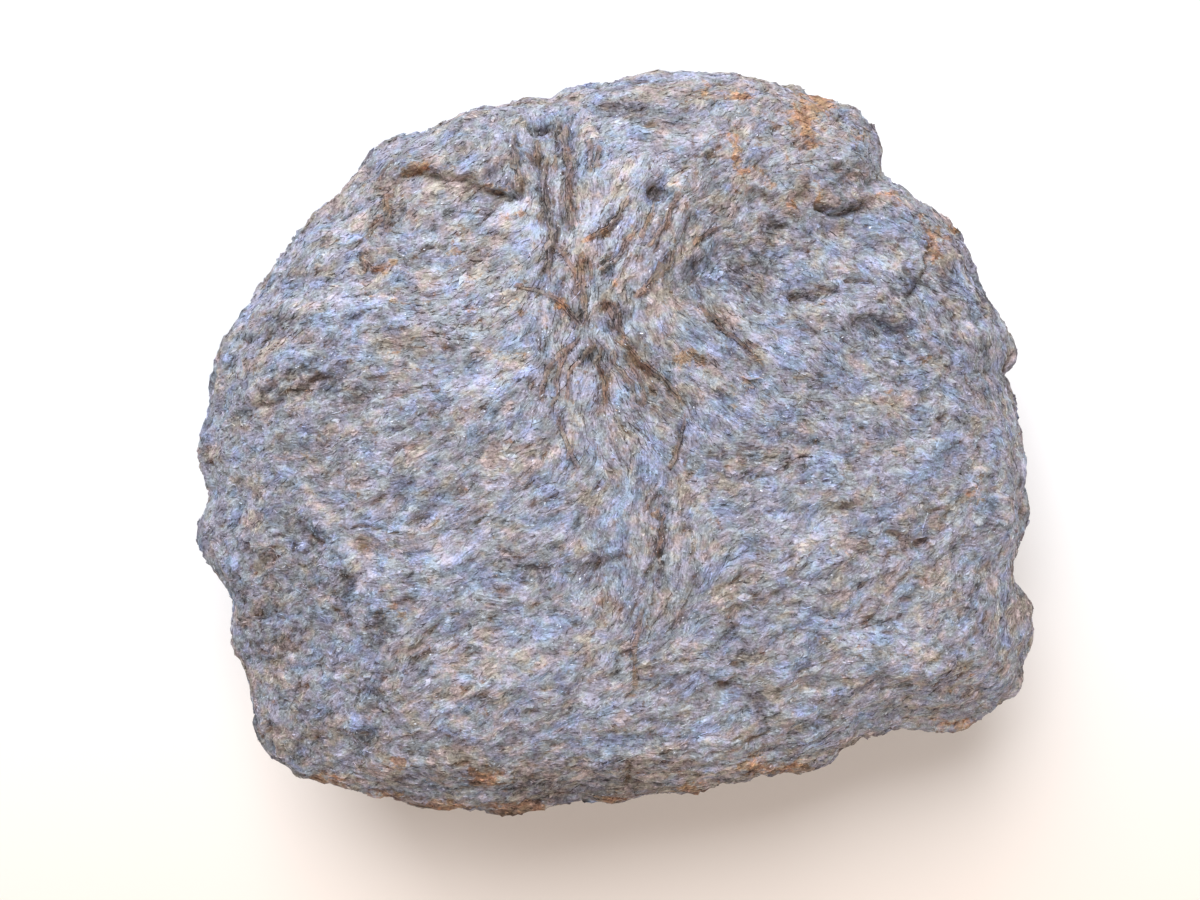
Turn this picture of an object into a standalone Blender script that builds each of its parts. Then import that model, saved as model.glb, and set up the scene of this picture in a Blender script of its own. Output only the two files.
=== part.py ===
# A hand specimen of mica schist: one rounded, foliated stone that lies on a small flat spot.
# The object is in metres, +Z up, with its origin in the middle of its underside.
# The lists below are in millimetres, seen from above, with +Y the far side.
import math

import bmesh
import bpy
import numpy as np
from mathutils import Vector, noise

# Driving sizes of the whole stone
LENGTH = 0.094
DEPTH = 0.082
THICKNESS = 0.033
MM = 0.001

# The widest level, the dome above it and the belly below it; the stone is thicker on the left
WAIST_HEIGHT = 19.0
WAIST_SLOPE = -0.07
DOME_HEIGHT = 13.6
DOME_SLOPE = -0.01
BELLY_DEPTH = 19.5

# Mesh density: the sphere that is shaped, and the faces kept once it is thinned
SPHERE_STEPS = 7
KEPT_FACES = 9200

# Outline of the widest level, clockwise from the far side
OUTLINE = [
    (-0.5, 40.0), (-6.0, 39.0), (-8.5, 37.6), (-11.0, 38.0), (-15.0, 36.5), (-20.0, 35.0),
    (-25.5, 33.0), (-28.0, 31.5), (-31.0, 27.5), (-35.5, 23.5), (-38.0, 20.5), (-41.5, 15.0),
    (-42.7, 12.4), (-44.0, 10.0), (-45.2, 5.0), (-47.0, -1.5), (-45.6, -6.3), (-47.0, -10.0),
    (-45.4, -14.0), (-44.4, -17.5), (-45.0, -22.5), (-42.6, -27.5), (-41.0, -33.0), (-38.0, -36.0),
    (-35.0, -38.0), (-26.5, -40.0), (-20.0, -41.0), (-18.0, -40.5), (-13.0, -41.1), (-5.0, -40.0),
    (-0.5, -40.5), (3.5, -39.5), (11.5, -38.5), (15.5, -37.4), (20.0, -37.5), (23.5, -36.0),
    (24.8, -34.4), (30.5, -33.0), (37.5, -33.5), (41.5, -31.5), (45.5, -28.5), (45.4, -25.5),
    (47.1, -22.5), (46.9, -17.8), (45.4, -15.5), (46.1, -9.0), (45.4, -2.0), (44.4, 4.0),
    (43.4, 7.2), (44.4, 11.5), (41.0, 16.7), (39.5, 21.5), (36.0, 26.0), (31.5, 28.5),
    (28.6, 30.8), (29.1, 33.0), (25.5, 37.4), (21.0, 39.2), (13.5, 40.4), (7.5, 41.1),
]

# How full the edge is all round: azimuth in degrees, exponent above and below the widest level
FULLNESS = [
    (0, 2.7, 2.8), (40, 2.4, 2.4), (75, 2.8, 2.7), (110, 2.6, 2.9), (145, 2.4, 2.6),
    (180, 2.8, 2.5), (215, 2.4, 2.8), (250, 3.0, 2.5), (285, 3.3, 2.9), (320, 2.8, 2.5),
]

# Broad swells and hollows: x, y, reach along x, reach along y, height
SWELLS = [
    (20.0, 33.5, 16.0, 6.5, 0.8), (-31.0, 8.0, 12.0, 9.0, 0.6), (4.0, 27.0, 4.5, 8.0, 0.6),
    (-21.0, 31.5, 9.0, 3.6, 0.5), (18.5, -10.5, 10.0, 6.5, 0.8), (31.5, -24.0, 8.0, 5.0, 0.8),
    (37.0, 13.0, 5.0, 6.5, 0.6), (-14.0, 5.5, 9.0, 3.5, 0.5), (-10.0, -27.0, 13.0, 6.0, 0.6),
    (-16.0, 20.5, 8.5, 5.0, -1.1), (17.5, 17.5, 11.5, 5.5, -1.5), (29.5, 9.5, 6.0, 4.0, -0.8),
    (-7.0, 14.0, 2.6, 1.8, -0.5), (-6.0, -14.0, 8.0, 2.4, -0.6), (10.0, -27.5, 7.0, 4.0, -0.7),
    (-38.0, 17.0, 4.0, 4.0, -0.6), (36.0, -12.0, 5.0, 6.0, -0.7), (-32.5, -39.0, 4.0, 3.0, -1.2),
]

# Planes where the surface falls away: a point on the crest, direction of the fall, slope
FALLS = [
    ((-29.0, -17.0), 205, 0.30), ((33.0, 20.0), 40, 0.20), ((30.0, -27.0), 300, 0.18),
    ((-30.0, 24.0), 140, 0.16), ((0.0, -35.0), 270, 0.30),
]

# Broken edges of a layer: points from left to right, drop towards the near side, reach
LEDGES = [
    ([(-27.5, 27.0), (-24.0, 28.0), (-21.0, 28.5), (-19.5, 27.0), (-17.0, 27.0),
      (-14.5, 25.4), (-11.0, 24.8)], 1.0, 4.0),
    ([(-17.5, 26.8), (-15.0, 27.6), (-12.5, 29.4)], 0.5, 2.0),
    ([(7.5, 25.0), (12.5, 26.6), (17.0, 26.0), (20.0, 27.0), (25.5, 28.6), (29.0, 29.0)], 0.9, 4.5),
    ([(20.0, 24.0), (23.5, 24.2), (28.5, 27.2)], 0.8, 2.5),
    ([(-42.5, 3.2), (-37.0, 4.5), (-30.5, 7.2)], 0.6, 2.5),
    ([(-40.0, 4.8), (-34.5, 7.5), (-31.0, 9.0)], 0.5, 2.0),
    ([(-42.0, 9.8), (-39.0, 10.5), (-35.0, 12.0)], 0.5, 2.5),
    ([(22.0, -27.0), (29.0, -25.0), (38.0, -26.0), (42.0, -28.0)], 0.8, 3.0),
    ([(-33.0, -32.0), (-25.0, -35.5), (-12.0, -36.0), (2.0, -34.6), (14.0, -34.4),
      (24.0, -30.8)], 0.9, 3.0),
    ([(-13.0, -13.0), (-6.0, -12.2), (1.5, -11.2)], 0.7, 3.0),
    ([(26.0, 2.0), (33.0, 4.6), (41.0, 4.0)], 0.5, 3.0),
]

# Grooves, and ridges where the depth is below zero: points, depth, half width
GROOVES = [
    ([(-6.0, 33.2), (-6.5, 31.0), (-6.0, 28.5), (-6.4, 25.5), (-6.0, 22.5), (-6.5, 19.5)], 0.9, 1.0),
    ([(-8.0, 30.5), (-8.7, 27.5), (-8.5, 24.0), (-8.0, 19.5)], 0.7, 0.9),
    ([(-7.2, 32.0), (-7.4, 27.0), (-7.2, 21.0)], -0.5, 0.8),
    ([(-4.4, 32.0), (-4.6, 26.0), (-4.0, 20.0)], -0.5, 1.2),
    ([(-11.2, 32.8), (-10.6, 27.8)], 0.5, 1.0),
    ([(-5.0, 18.0), (-4.6, 14.5), (-6.6, 10.0), (-7.6, 4.5)], 0.5, 1.0),
    ([(-2.6, 15.0), (-1.4, 11.0), (0.0, 8.0), (2.4, 5.0), (3.2, 2.4)], 0.8, 1.0),
    ([(1.2, 8.6), (4.0, 5.2), (5.6, 3.6)], 0.5, 1.0),
    ([(3.6, 25.4), (2.4, 23.0), (1.2, 20.4)], 0.6, 1.0),
    ([(5.4, 26.8), (4.0, 21.5), (3.4, 17.5), (1.4, 14.2)], -0.6, 1.2),
    ([(-25.4, 25.6), (-24.6, 22.5), (-23.4, 19.5)], 0.5, 1.0),
    ([(-28.0, 18.6), (-26.8, 16.2)], 0.5, 1.0),
    ([(-37.0, 20.6), (-35.5, 16.4)], 0.5, 1.2),
    ([(36.6, 19.6), (33.6, 16.6)], 0.6, 1.2),
    ([(3.4, -7.0), (3.0, -12.5), (3.6, -21.0)], 0.6, 1.3),
    ([(-31.0, -13.0), (-27.0, -16.0), (-23.2, -22.0), (-22.8, -29.0)], -0.6, 2.2),
    ([(43.0, -20.4), (46.0, -16.6)], 1.0, 1.5),
]

# Small pits where a grain has dropped out: x, y, radius, depth
PITS = [
    (3.6, 25.6, 1.1, 0.9), (-9.2, 32.8, 1.4, 0.8), (18.5, 15.0, 1.1, 0.6), (31.0, -11.5, 1.2, 0.9),
    (-27.0, -11.5, 1.4, 0.7), (10.0, -26.0, 1.1, 0.7), (-29.5, -33.0, 1.6, 1.0), (15.2, 22.6, 1.0, 0.5),
    (25.6, 11.6, 1.4, 0.6),
]

# Direction of the mica streaks on the upper face: x, y, degrees from +X
STREAKS = [
    (-35, 25, 40), (-20, 33, 25), (-40, 14, 30), (-34, 6, 18), (-22, 14, 10), (-13, 6, 26),
    (-12, 18, 8), (-8, 30, 90), (-7, 23, 88), (-5, 15, 88), (-7, 6, 78), (0, 9, 112), (4, 4, 130),
    (9, 10, 150), (4, 22, 60), (9, 28, 38), (1, 34, 55), (16, 34, 12), (19, 20, 12), (28, 20, -14),
    (36, 14, -30), (43, 3, -65), (24, 5, -10), (33, 0, 6), (44, -18, 84), (-32, -6, 12),
    (-15, -5, 20), (3, -12, 84), (14, -6, 12), (26, -12, 16), (-34, -22, 32), (-14, -22, 18),
    (14, -22, 15), (32, -27, 10), (-20, -36, 8), (6, -36, 6), (-40, -30, 50),
]
STREAK_TURNS = 6
STREAK_LENGTH = 11.0
STREAK_WIDTH = 3.0
STREAK_RELIEF = 0.55
CRUMB_SIZE = 5.5
CRUMB_RELIEF = 0.30

# How softly the crest of a fall is rounded, and the drop over which the dome and the belly flatten
CREST_ROUNDING = 2.0
DOME_FALL = 9.0
BELLY_FALL = 12.0

# Layers that show as broken steps round the edge, which is taken as a ring of the given radius
LAYER_THICKNESS = 4.4
LAYER_WANDER = 2.6
LAYER_WAVES = (16.0, 6.0)
LAYER_RELIEF = 3.0
LAYER_PATCH = 10.0
LAYER_CHANGE = 31.0
EDGE_RADIUS = 40.0
EDGE_CRUMB = 0.7
EDGE_START = 0.72
EDGE_INSET = 0.3
UPPER_EDGE = 0.5

# The outline's small lobes turn and die away above and below the widest level
LOBE_SPREAD = 14
LOBE_TURN = 0.10
LOBE_KEPT = 0.25
TRUE_STEP = 3

# Underside: broad planes that fall away towards the edge, broken layers and lumps
BELLY_FALLS = [
    ((-12.0, -14.0), 235, 0.16), ((16.0, 12.0), 35, 0.20), ((-14.0, 17.0), 120, 0.14),
    ((20.0, -16.0), 330, 0.14),
]
BELLY_LEDGES = [
    ([(-40.0, -6.0), (-30.0, -9.0), (-24.0, -18.0), (-14.0, -24.0), (-2.0, -25.0)], -1.6, 5.0),
    ([(10.0, 34.0), (17.0, 26.0), (27.0, 21.0), (34.0, 10.0)], 1.7, 5.0),
    ([(-34.0, 8.0), (-26.0, 16.0), (-12.0, 22.0), (-6.0, 32.0)], 1.3, 4.0),
    ([(14.0, -22.0), (24.0, -18.0), (36.0, -16.0)], -1.4, 4.0),
]
BELLY_RELIEF = 1.6
BELLY_SIZE = 14.0
BELLY_CRUMB = 0.8
REST_REACH = 0.46


def outline_radius(azimuth, kept):
    # Reach of the outline in each direction, by a smooth closed curve through its points,
    # with the share of its small lobes that is kept
    points = np.array(OUTLINE)
    before, after, later = (np.roll(points, shift, axis=0) for shift in (1, -1, -2))
    shares = np.linspace(0.0, 1.0, 8, endpoint=False)[:, None, None]
    curve = 0.5 * (2 * points + (after - before) * shares
                   + (2 * before - 5 * points + 4 * after - later) * shares ** 2
                   + (3 * points - before - 3 * after + later) * shares ** 3)
    curve = curve.reshape(-1, 2)
    angles = np.arctan2(curve[:, 1], curve[:, 0])
    reach = np.hypot(curve[:, 0], curve[:, 1])
    order = np.argsort(angles)
    all_round = np.radians(np.arange(-180, 180))
    true = np.interp(all_round, angles[order], reach[order], period=2 * math.pi)
    smooth = np.mean([np.roll(true, step) for step in range(-LOBE_SPREAD, LOBE_SPREAD + 1)], axis=0)
    lobes = np.interp(azimuth, all_round, true - smooth, period=2 * math.pi)
    return np.interp(azimuth, all_round, smooth, period=2 * math.pi) + kept * lobes


def fullness(azimuth):
    # Exponents of the edge's profile above and below the widest level
    table = np.array(FULLNESS)
    degrees = np.degrees(azimuth)
    return (np.interp(degrees, table[:, 0], table[:, 1], period=360),
            np.interp(degrees, table[:, 0], table[:, 2], period=360))


def fade(value, start, end):
    # 0 before start, 1 after end, with a smooth passage between them
    share = np.clip((value - start) / (end - start), 0.0, 1.0)
    return share * share * (3.0 - 2.0 * share)


def line_distance(points, x, y):
    # Distance to a line of points, above zero on its far side, and the way along it from 0 to 1
    nearest = np.full(x.shape, 1e9)
    signed = np.zeros(x.shape)
    way = np.zeros(x.shape)
    spans = list(zip(points[:-1], points[1:]))
    for index, ((ax, ay), (bx, by)) in enumerate(spans):
        dx, dy = bx - ax, by - ay
        share = np.clip(((x - ax) * dx + (y - ay) * dy) / (dx * dx + dy * dy), 0.0, 1.0)
        away = np.hypot(x - ax - share * dx, y - ay - share * dy)
        side = np.where(dx * (y - ay) - dy * (x - ax) < 0.0, -1.0, 1.0)
        closer = away < nearest
        nearest = np.where(closer, away, nearest)
        signed = np.where(closer, away * side, signed)
        way = np.where(closer, (index + share) / len(spans), way)
    return signed, way


def field(x, y, z, size, seed):
    # Soft noise between about -1 and 1 at the given size
    return np.array([noise.noise(Vector((a / size + seed, b / size - seed, c / size)))
                     for a, b, c in zip(x, y, z)])


def streak_relief(x, y, z):
    # Long low lumps that lie along the streaks, blended between a few fixed directions
    cosine = np.zeros(x.shape)
    sine = np.zeros(x.shape)
    for sx, sy, degrees in STREAKS:
        pull = 1.0 / ((x - sx) ** 2 + (y - sy) ** 2 + 4.0) ** 1.5
        cosine += pull * math.cos(math.radians(2 * degrees))
        sine += pull * math.sin(math.radians(2 * degrees))
    doubled = np.arctan2(sine, cosine)
    relief = np.zeros(x.shape)
    total = np.zeros(x.shape)
    for turn in range(STREAK_TURNS):
        angle = math.pi * turn / STREAK_TURNS
        weight = np.maximum(np.cos(doubled - 2 * angle), 0.0) ** 4
        along = x * math.cos(angle) + y * math.sin(angle)
        across = y * math.cos(angle) - x * math.sin(angle)
        lumps = field(along * STREAK_WIDTH / STREAK_LENGTH, across, z, STREAK_WIDTH, 3.7 * turn)
        relief += weight * lumps
        total += weight
    return relief / np.maximum(total, 1e-6)


def falls(planes, x, y):
    # How far the surface has dropped past the crests of the planes
    drop = np.zeros(x.shape)
    for (cx, cy), degrees, slope in planes:
        angle = math.radians(degrees)
        past = (x - cx) * math.cos(angle) + (y - cy) * math.sin(angle)
        rounded = np.log1p(np.exp(np.clip(past / CREST_ROUNDING, -20.0, 20.0)))
        drop += slope * CREST_ROUNDING * rounded
    return drop


def ledges(lines, x, y):
    # Steps along broken layers, high on their far side
    height = np.zeros(x.shape)
    for points, drop, reach in lines:
        signed, way = line_distance(points, x, y)
        ends = fade(way, 0.0, 0.12) * fade(1.0 - way, 0.0, 0.12)
        height += 0.5 * drop * ends * np.tanh(signed / 0.45) * np.exp(-np.abs(signed) / reach)
    return height


def top_relief(x, y, z):
    # Height that the upper face gains or loses
    height = STREAK_RELIEF * streak_relief(x, y, z)
    height += CRUMB_RELIEF * field(x, y, z, CRUMB_SIZE, 21.0)
    for cx, cy, along, across, rise in SWELLS:
        height += rise * np.exp(-((x - cx) / along) ** 2 - ((y - cy) / across) ** 2)
    height += ledges(LEDGES, x, y)
    for points, depth, half_width in GROOVES:
        signed, way = line_distance(points, x, y)
        height -= depth * np.exp(-(signed / half_width) ** 2)
    for cx, cy, radius, depth in PITS:
        height -= depth * np.exp(-(np.hypot(x - cx, y - cy) / radius) ** 4)
    return height


def edge_relief(x, y, z, azimuth):
    # Broken layers: each stands in or out by its own amount, with a quick step between two
    long_wave, short_wave = LAYER_WAVES
    wander = field(x, y, 0.0 * z, long_wave, 8.0) + 0.5 * field(x, y, 0.0 * z, short_wave, 5.0)
    level = (z + LAYER_WANDER * wander) / LAYER_THICKNESS
    layer = np.floor(level)
    within = level - layer
    step = fade(within, 0.72, 1.0)
    turn_x, turn_y = EDGE_RADIUS * np.cos(azimuth), EDGE_RADIUS * np.sin(azimuth)
    here = field(turn_x, turn_y, layer * LAYER_CHANGE, LAYER_PATCH, 2.0)
    above = field(turn_x, turn_y, (layer + 1.0) * LAYER_CHANGE, LAYER_PATCH, 2.0)
    bulge = 0.5 * np.sin(math.pi * within) - 0.25
    crumbs = EDGE_CRUMB * field(x, y, z * 1.6, CRUMB_SIZE, 63.0)
    return LAYER_RELIEF * (here * (1.0 - step) + above * step) + bulge + crumbs


def shape_sphere(vertices):
    # Turn a unit sphere's points into the stone's, in millimetres
    x, y, z = vertices.T
    azimuth = np.arctan2(y, x)
    flat = np.hypot(x, y)
    above, below = fullness(azimuth)
    exponent = np.where(z > 0.0, above, below)
    size = (flat ** exponent + np.abs(z) ** exponent) ** (-1.0 / exponent)
    ring = flat * size
    rise = z * size
    away = fade(np.abs(rise), 0.1, 0.6)
    turned = azimuth + LOBE_TURN * away * field(20 * x, 20 * y, 30 * z, 9.0, 14.0)
    reach = outline_radius(turned, 1.0 - (1.0 - LOBE_KEPT) * away)
    x = ring * reach * np.cos(azimuth)
    y = ring * reach * np.sin(azimuth)
    waist = WAIST_HEIGHT + WAIST_SLOPE * x
    upper = rise * (DOME_HEIGHT + DOME_SLOPE * x) * np.exp(-falls(FALLS, x, y) / DOME_FALL)
    lower = rise * (BELLY_DEPTH + WAIST_SLOPE * x) * np.exp(-falls(BELLY_FALLS, x, y) / BELLY_FALL)
    z = waist + np.where(rise > 0.0, upper, lower)

    # The relief of the edge is weak at the widest level, so the outline stays true
    edge = fade(ring, EDGE_START, 0.95) * (0.35 + 0.65 * fade(np.abs(rise), 0.05, 0.35))
    edge *= np.where(rise > 0.0, 1.0 - (1.0 - UPPER_EDGE) * fade(rise, 0.0, 0.2), 1.0)
    inset = edge * (edge_relief(x, y, z, azimuth) - EDGE_INSET)
    on_top = fade(rise, 0.10, 0.55)
    below_waist = fade(-rise, 0.15, 0.60) * fade(ring, REST_REACH - 0.2, REST_REACH + 0.15)
    belly = BELLY_RELIEF * field(x, y, z, BELLY_SIZE, 40.0) + ledges(BELLY_LEDGES, x, y)
    belly += BELLY_CRUMB * field(x, y, z, CRUMB_SIZE, 44.0)
    z = z + on_top * top_relief(x, y, z) + below_waist * belly
    x = x + inset * np.cos(azimuth)
    y = y + inset * np.sin(azimuth)
    return np.column_stack((x, y, z))


def true_outline(points):
    # Bring the farthest reach in every direction back to the outline
    x, y = points[:, 0], points[:, 1]
    azimuth = np.arctan2(y, x)
    reach = np.hypot(x, y)
    sector = np.floor(np.degrees(azimuth) / TRUE_STEP).astype(int) % (360 // TRUE_STEP)
    farthest = np.array([reach[sector == index].max() for index in range(360 // TRUE_STEP)])
    middles = np.radians((np.arange(360 // TRUE_STEP) + 0.5) * TRUE_STEP)
    wanted = outline_radius(middles, 1.0)
    stretch = np.interp(azimuth, middles, wanted / farthest, period=2 * math.pi)
    return points * np.column_stack((stretch, stretch, np.ones(len(points))))


def read_points(mesh):
    points = np.empty(len(mesh.vertices) * 3)
    mesh.vertices.foreach_get("co", points)
    return points.reshape(-1, 3)


def write_points(mesh, points):
    mesh.vertices.foreach_set("co", np.asarray(points, dtype=np.float32).ravel())
    mesh.update()


def rough_stone():
    # The full shape as a dense mesh, one closed skin
    skin = bmesh.new()
    bmesh.ops.create_icosphere(skin, subdivisions=SPHERE_STEPS, radius=1.0)
    mesh = bpy.data.meshes.new("mica_schist")
    skin.to_mesh(mesh)
    skin.free()
    write_points(mesh, true_outline(shape_sphere(read_points(mesh))) * MM)
    return mesh


def thinned(mesh, face_count):
    # The same shape with fewer faces, dense only where the relief needs them
    carrier = bpy.data.objects.new("thinning", mesh)
    bpy.context.scene.collection.objects.link(carrier)
    decimate = carrier.modifiers.new("thin", "DECIMATE")
    decimate.ratio = face_count / len(mesh.polygons)
    view = bpy.context.evaluated_depsgraph_get()
    thin = bpy.data.meshes.new_from_object(carrier.evaluated_get(view))
    bpy.data.objects.remove(carrier)
    return thin


def cut_resting_spot(mesh):
    # Cut the lowest part off at ground level and close the cut with one flat face
    skin = bmesh.new()
    skin.from_mesh(mesh)
    everything = skin.verts[:] + skin.edges[:] + skin.faces[:]
    cut = bmesh.ops.bisect_plane(skin, geom=everything, dist=0.00002, plane_co=(0, 0, 0),
                                 plane_no=(0, 0, -1), clear_outer=True)
    rim = [item for item in cut["geom_cut"] if isinstance(item, bmesh.types.BMEdge)]
    for edge in rim:
        for vertex in edge.verts:
            vertex.co.z = 0.0
    bmesh.ops.holes_fill(skin, edges=rim, sides=0)
    bmesh.ops.triangulate(skin, faces=skin.faces[:])
    bmesh.ops.recalc_face_normals(skin, faces=skin.faces[:])
    skin.to_mesh(mesh)
    skin.free()


def fit_to_size(mesh):
    # Bring the box to the driving sizes, centred over the origin and standing on the ground
    points = read_points(mesh)
    low, high = points.min(axis=0), points.max(axis=0)
    middle = (low + high) / 2
    middle[2] = low[2]
    points = (points - middle) * (np.array((LENGTH, DEPTH, THICKNESS)) / (high - low))
    write_points(mesh, points)


def schist_material():
    material = bpy.data.materials.new("grey lavender mica schist")
    material.use_nodes = True
    shader = material.node_tree.nodes["Principled BSDF"]
    shader.inputs["Base Color"].default_value = (0.36, 0.36, 0.41, 1.0)
    shader.inputs["Roughness"].default_value = 0.48
    shader.inputs["Metallic"].default_value = 0.15
    return material


def main():
    for thing in list(bpy.data.objects):
        bpy.data.objects.remove(thing)
    mesh = thinned(rough_stone(), KEPT_FACES)
    cut_resting_spot(mesh)
    fit_to_size(mesh)
    mesh.materials.append(schist_material())
    stone = bpy.data.objects.new("mica_schist", mesh)
    bpy.context.scene.collection.objects.link(stone)


main()
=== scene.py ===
import math
import bpy
import numpy as np
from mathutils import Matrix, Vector, noise
from mathutils.bvhtree import BVHTree


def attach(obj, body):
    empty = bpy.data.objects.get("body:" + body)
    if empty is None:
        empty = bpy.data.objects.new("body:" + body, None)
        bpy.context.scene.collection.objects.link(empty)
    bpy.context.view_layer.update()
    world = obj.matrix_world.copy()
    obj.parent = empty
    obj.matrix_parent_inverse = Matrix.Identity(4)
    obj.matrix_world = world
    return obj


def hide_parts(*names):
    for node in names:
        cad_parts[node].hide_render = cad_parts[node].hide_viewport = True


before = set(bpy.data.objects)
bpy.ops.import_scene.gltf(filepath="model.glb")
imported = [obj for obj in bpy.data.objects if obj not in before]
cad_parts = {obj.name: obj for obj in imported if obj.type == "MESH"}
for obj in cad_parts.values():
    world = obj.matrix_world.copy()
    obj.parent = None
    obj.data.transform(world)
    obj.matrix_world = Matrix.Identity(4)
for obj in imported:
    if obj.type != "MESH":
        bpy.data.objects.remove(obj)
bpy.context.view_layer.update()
mm = 0.001
eye = (-2.9, -1.2, 154.0)  # the camera, in millimetres
print("frame loaded")


# The stone: lengths in millimetres, seen from above, +Y away from the camera's lower edge

stone = {
    "voxel": 0.58,
    "smoothing": 6,
    "finerAbove": 0.55,  # faces that look up more than this are divided once more
    "kept": 0.65,  # share of the triangles that stays once the loose mica lies on the skin
    # between which values of a normal's height the skin counts as level, and as facing up
    "level": (0.35, 0.75),
    "upper": (-0.05, 0.35),
    # direction of the mica streaks: x, y, degrees from +X
    "streaks": [
        (-35, 25, 40), (-20, 33, 25), (-40, 14, 30), (-34, 6, 20), (-22, 14, 6), (-13, 6, 28),
        (-22, 10, -4), (-14, 21, 24), (-8, 30, 90), (-7, 23, 88), (-5, 15, 80), (-7, 6, 78),
        (0, 9, 118), (4, 4, 130), (9, 10, 150), (4, 22, 60), (9, 28, 38), (1, 34, 10),
        (16, 34, 30), (19, 20, -8), (28, 20, -14), (36, 14, -40), (43, 3, -65), (24, 5, -12),
        (33, 0, 6), (44, -18, 84), (-32, -6, 12), (-15, -5, 20), (3, -12, 84), (14, -6, 12),
        (26, -12, 16), (-34, -22, 32), (-14, -22, 18), (14, -22, 15), (32, -27, 10),
        (-20, -36, 8), (6, -36, 6), (-40, -30, 50),
    ],
    "turns": 6,
    # size of the swirls in the matted mica and how far they turn it, in degrees
    "swirls": (3.0, 40.0),
    "wander": (3.2, 0.8),
    # relief along the streaks: length, width, height
    "waves": (8.0, 2.8, 0.28),
    "plates": [(3.8, 1.4, 0.30), (1.7, 0.65, 0.15)],
    "fibres": (2.6, 0.5, 0.09),
    "slits": (2.4, 0.6, 0.20),
    "slitEdges": (0.22, 0.50),
    # crumbs: size and height, then their least share on the left and where they grow to the whole
    "crumbs": (1.4, 0.18),
    "crumbly": (0.45, 8.0, 30.0),
    # the layered edge: length, width, height, then how far its layers swing and how many there are
    "edgeLayers": (7.0, 1.1, 0.588),
    "edgeSteps": (1.3, 2.2),
    # brown stain and painted shade on the steep sides
    "edgeStainAndShade": 0.35,
    "fuller": 0.30,  # makes up for what the smoothing takes off the sides
}

# Marks on the upper side, placed as they show on a level plane from the camera's place above
marks = {
    "plane": 30.0,
    # how far lines and pits stray from a smooth course, and the size of that wander
    "stray": (0.28, 1.2),
    # how strong they are along their way: middle, change, size of the change, least, most
    "broken": (0.9, 0.7, 1.92, 0.35, 1.4),
    "lip": 0.22,  # how far a ledge's edge is rounded
    # beside a rib, in its half widths: where the groove runs and its reach, and its share in height
    "grooves": (1.8, 0.6, 0.6),
    "veins": (0.8, 1.6),  # where the brown of a rib ends
    "pitEdge": (1.25, 0.5),  # how much slimmer than long the pits are and how ragged
}

# broken layer edges: points from left to right, drop towards the near side, reach
marks["ledges"] = [
    ([(-26.4, 26.6), (-24.6, 26.8), (-23.4, 27.4), (-22, 28), (-20.4, 27.8), (-19.2, 27),
      (-17, 26.9), (-15, 27), (-13.2, 28.6)], 1.2, 1.8),
    ([(-17.2, 26.4), (-15, 26), (-12.8, 25.6), (-11, 25)], 1.2, 1.6),
    ([(18.6, 26.2), (19.4, 24.4), (21.6, 23.5), (23.8, 24.2), (25.6, 25.2)], 1.6, 2.2),
    ([(21, 26.6), (22.4, 27.4), (24.4, 27.2), (25.6, 26.4)], 0.9, 1.2),
    ([(20.4, 28), (22.8, 28.6), (24.8, 28.2)], 0.6, 1.2),
    ([(-40.2, 9.8), (-38.4, 10.4), (-36, 11), (-33.6, 11.4)], 0.6, 1.2),
    ([(-38, 4.8), (-35.4, 6.4), (-33, 8), (-30.8, 8.8)], 0.55, 1.4),
    ([(-36.4, 4.6), (-33, 5.6), (-30.2, 7.2), (-28, 7.6)], 0.6, 1.4),
    ([(-40.6, 2.8), (-37, 3.8), (-34, 4.8)], 0.5, 1.4),
    ([(-20, 4), (-16, 4.8), (-12.5, 6), (-10.5, 7.2)], 0.6, 1.2),
    ([(-25.6, 15.4), (-21.6, 15), (-18, 15.2), (-14, 16.6), (-12.4, 17.6)], 0.4, 1),
    ([(12, 25.8), (13.6, 25.4), (15, 24.6)], 0.5, 1.2),
    ([(14, 22.4), (16.4, 22.2), (17.2, 21.4)], 0.6, 1),
    ([(16.4, 15.2), (19.4, 15), (22, 15.4)], 0.6, 1),
    ([(22.6, 12.6), (25, 12.6), (28, 11.6), (30, 11.4)], 0.7, 1.2),
    ([(26, 15.6), (28.6, 15), (31, 16.6), (32.4, 17.6)], 0.5, 1.2),
    ([(34, 12.4), (36.6, 12.8), (38.6, 12.2)], 0.5, 1.2),
    ([(22, -27), (29, -25), (38, -26), (42, -28)], 0.5, 2),
    ([(-33, -32), (-25, -35.5), (-12, -36), (2, -34.6), (14, -34.4), (24, -30.8)], 0.5, 2),
    ([(-34, -8), (-28, -7), (-22, -4.4)], 0.5, 1.4),
    ([(-26, -16), (-20, -14.4), (-14, -11)], 0.5, 1.4),
    ([(6, -18), (13, -17), (20, -14)], 0.5, 1.4),
    ([(14, -8), (20, -6.6), (27, -7.4)], 0.5, 1.2),
]

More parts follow.
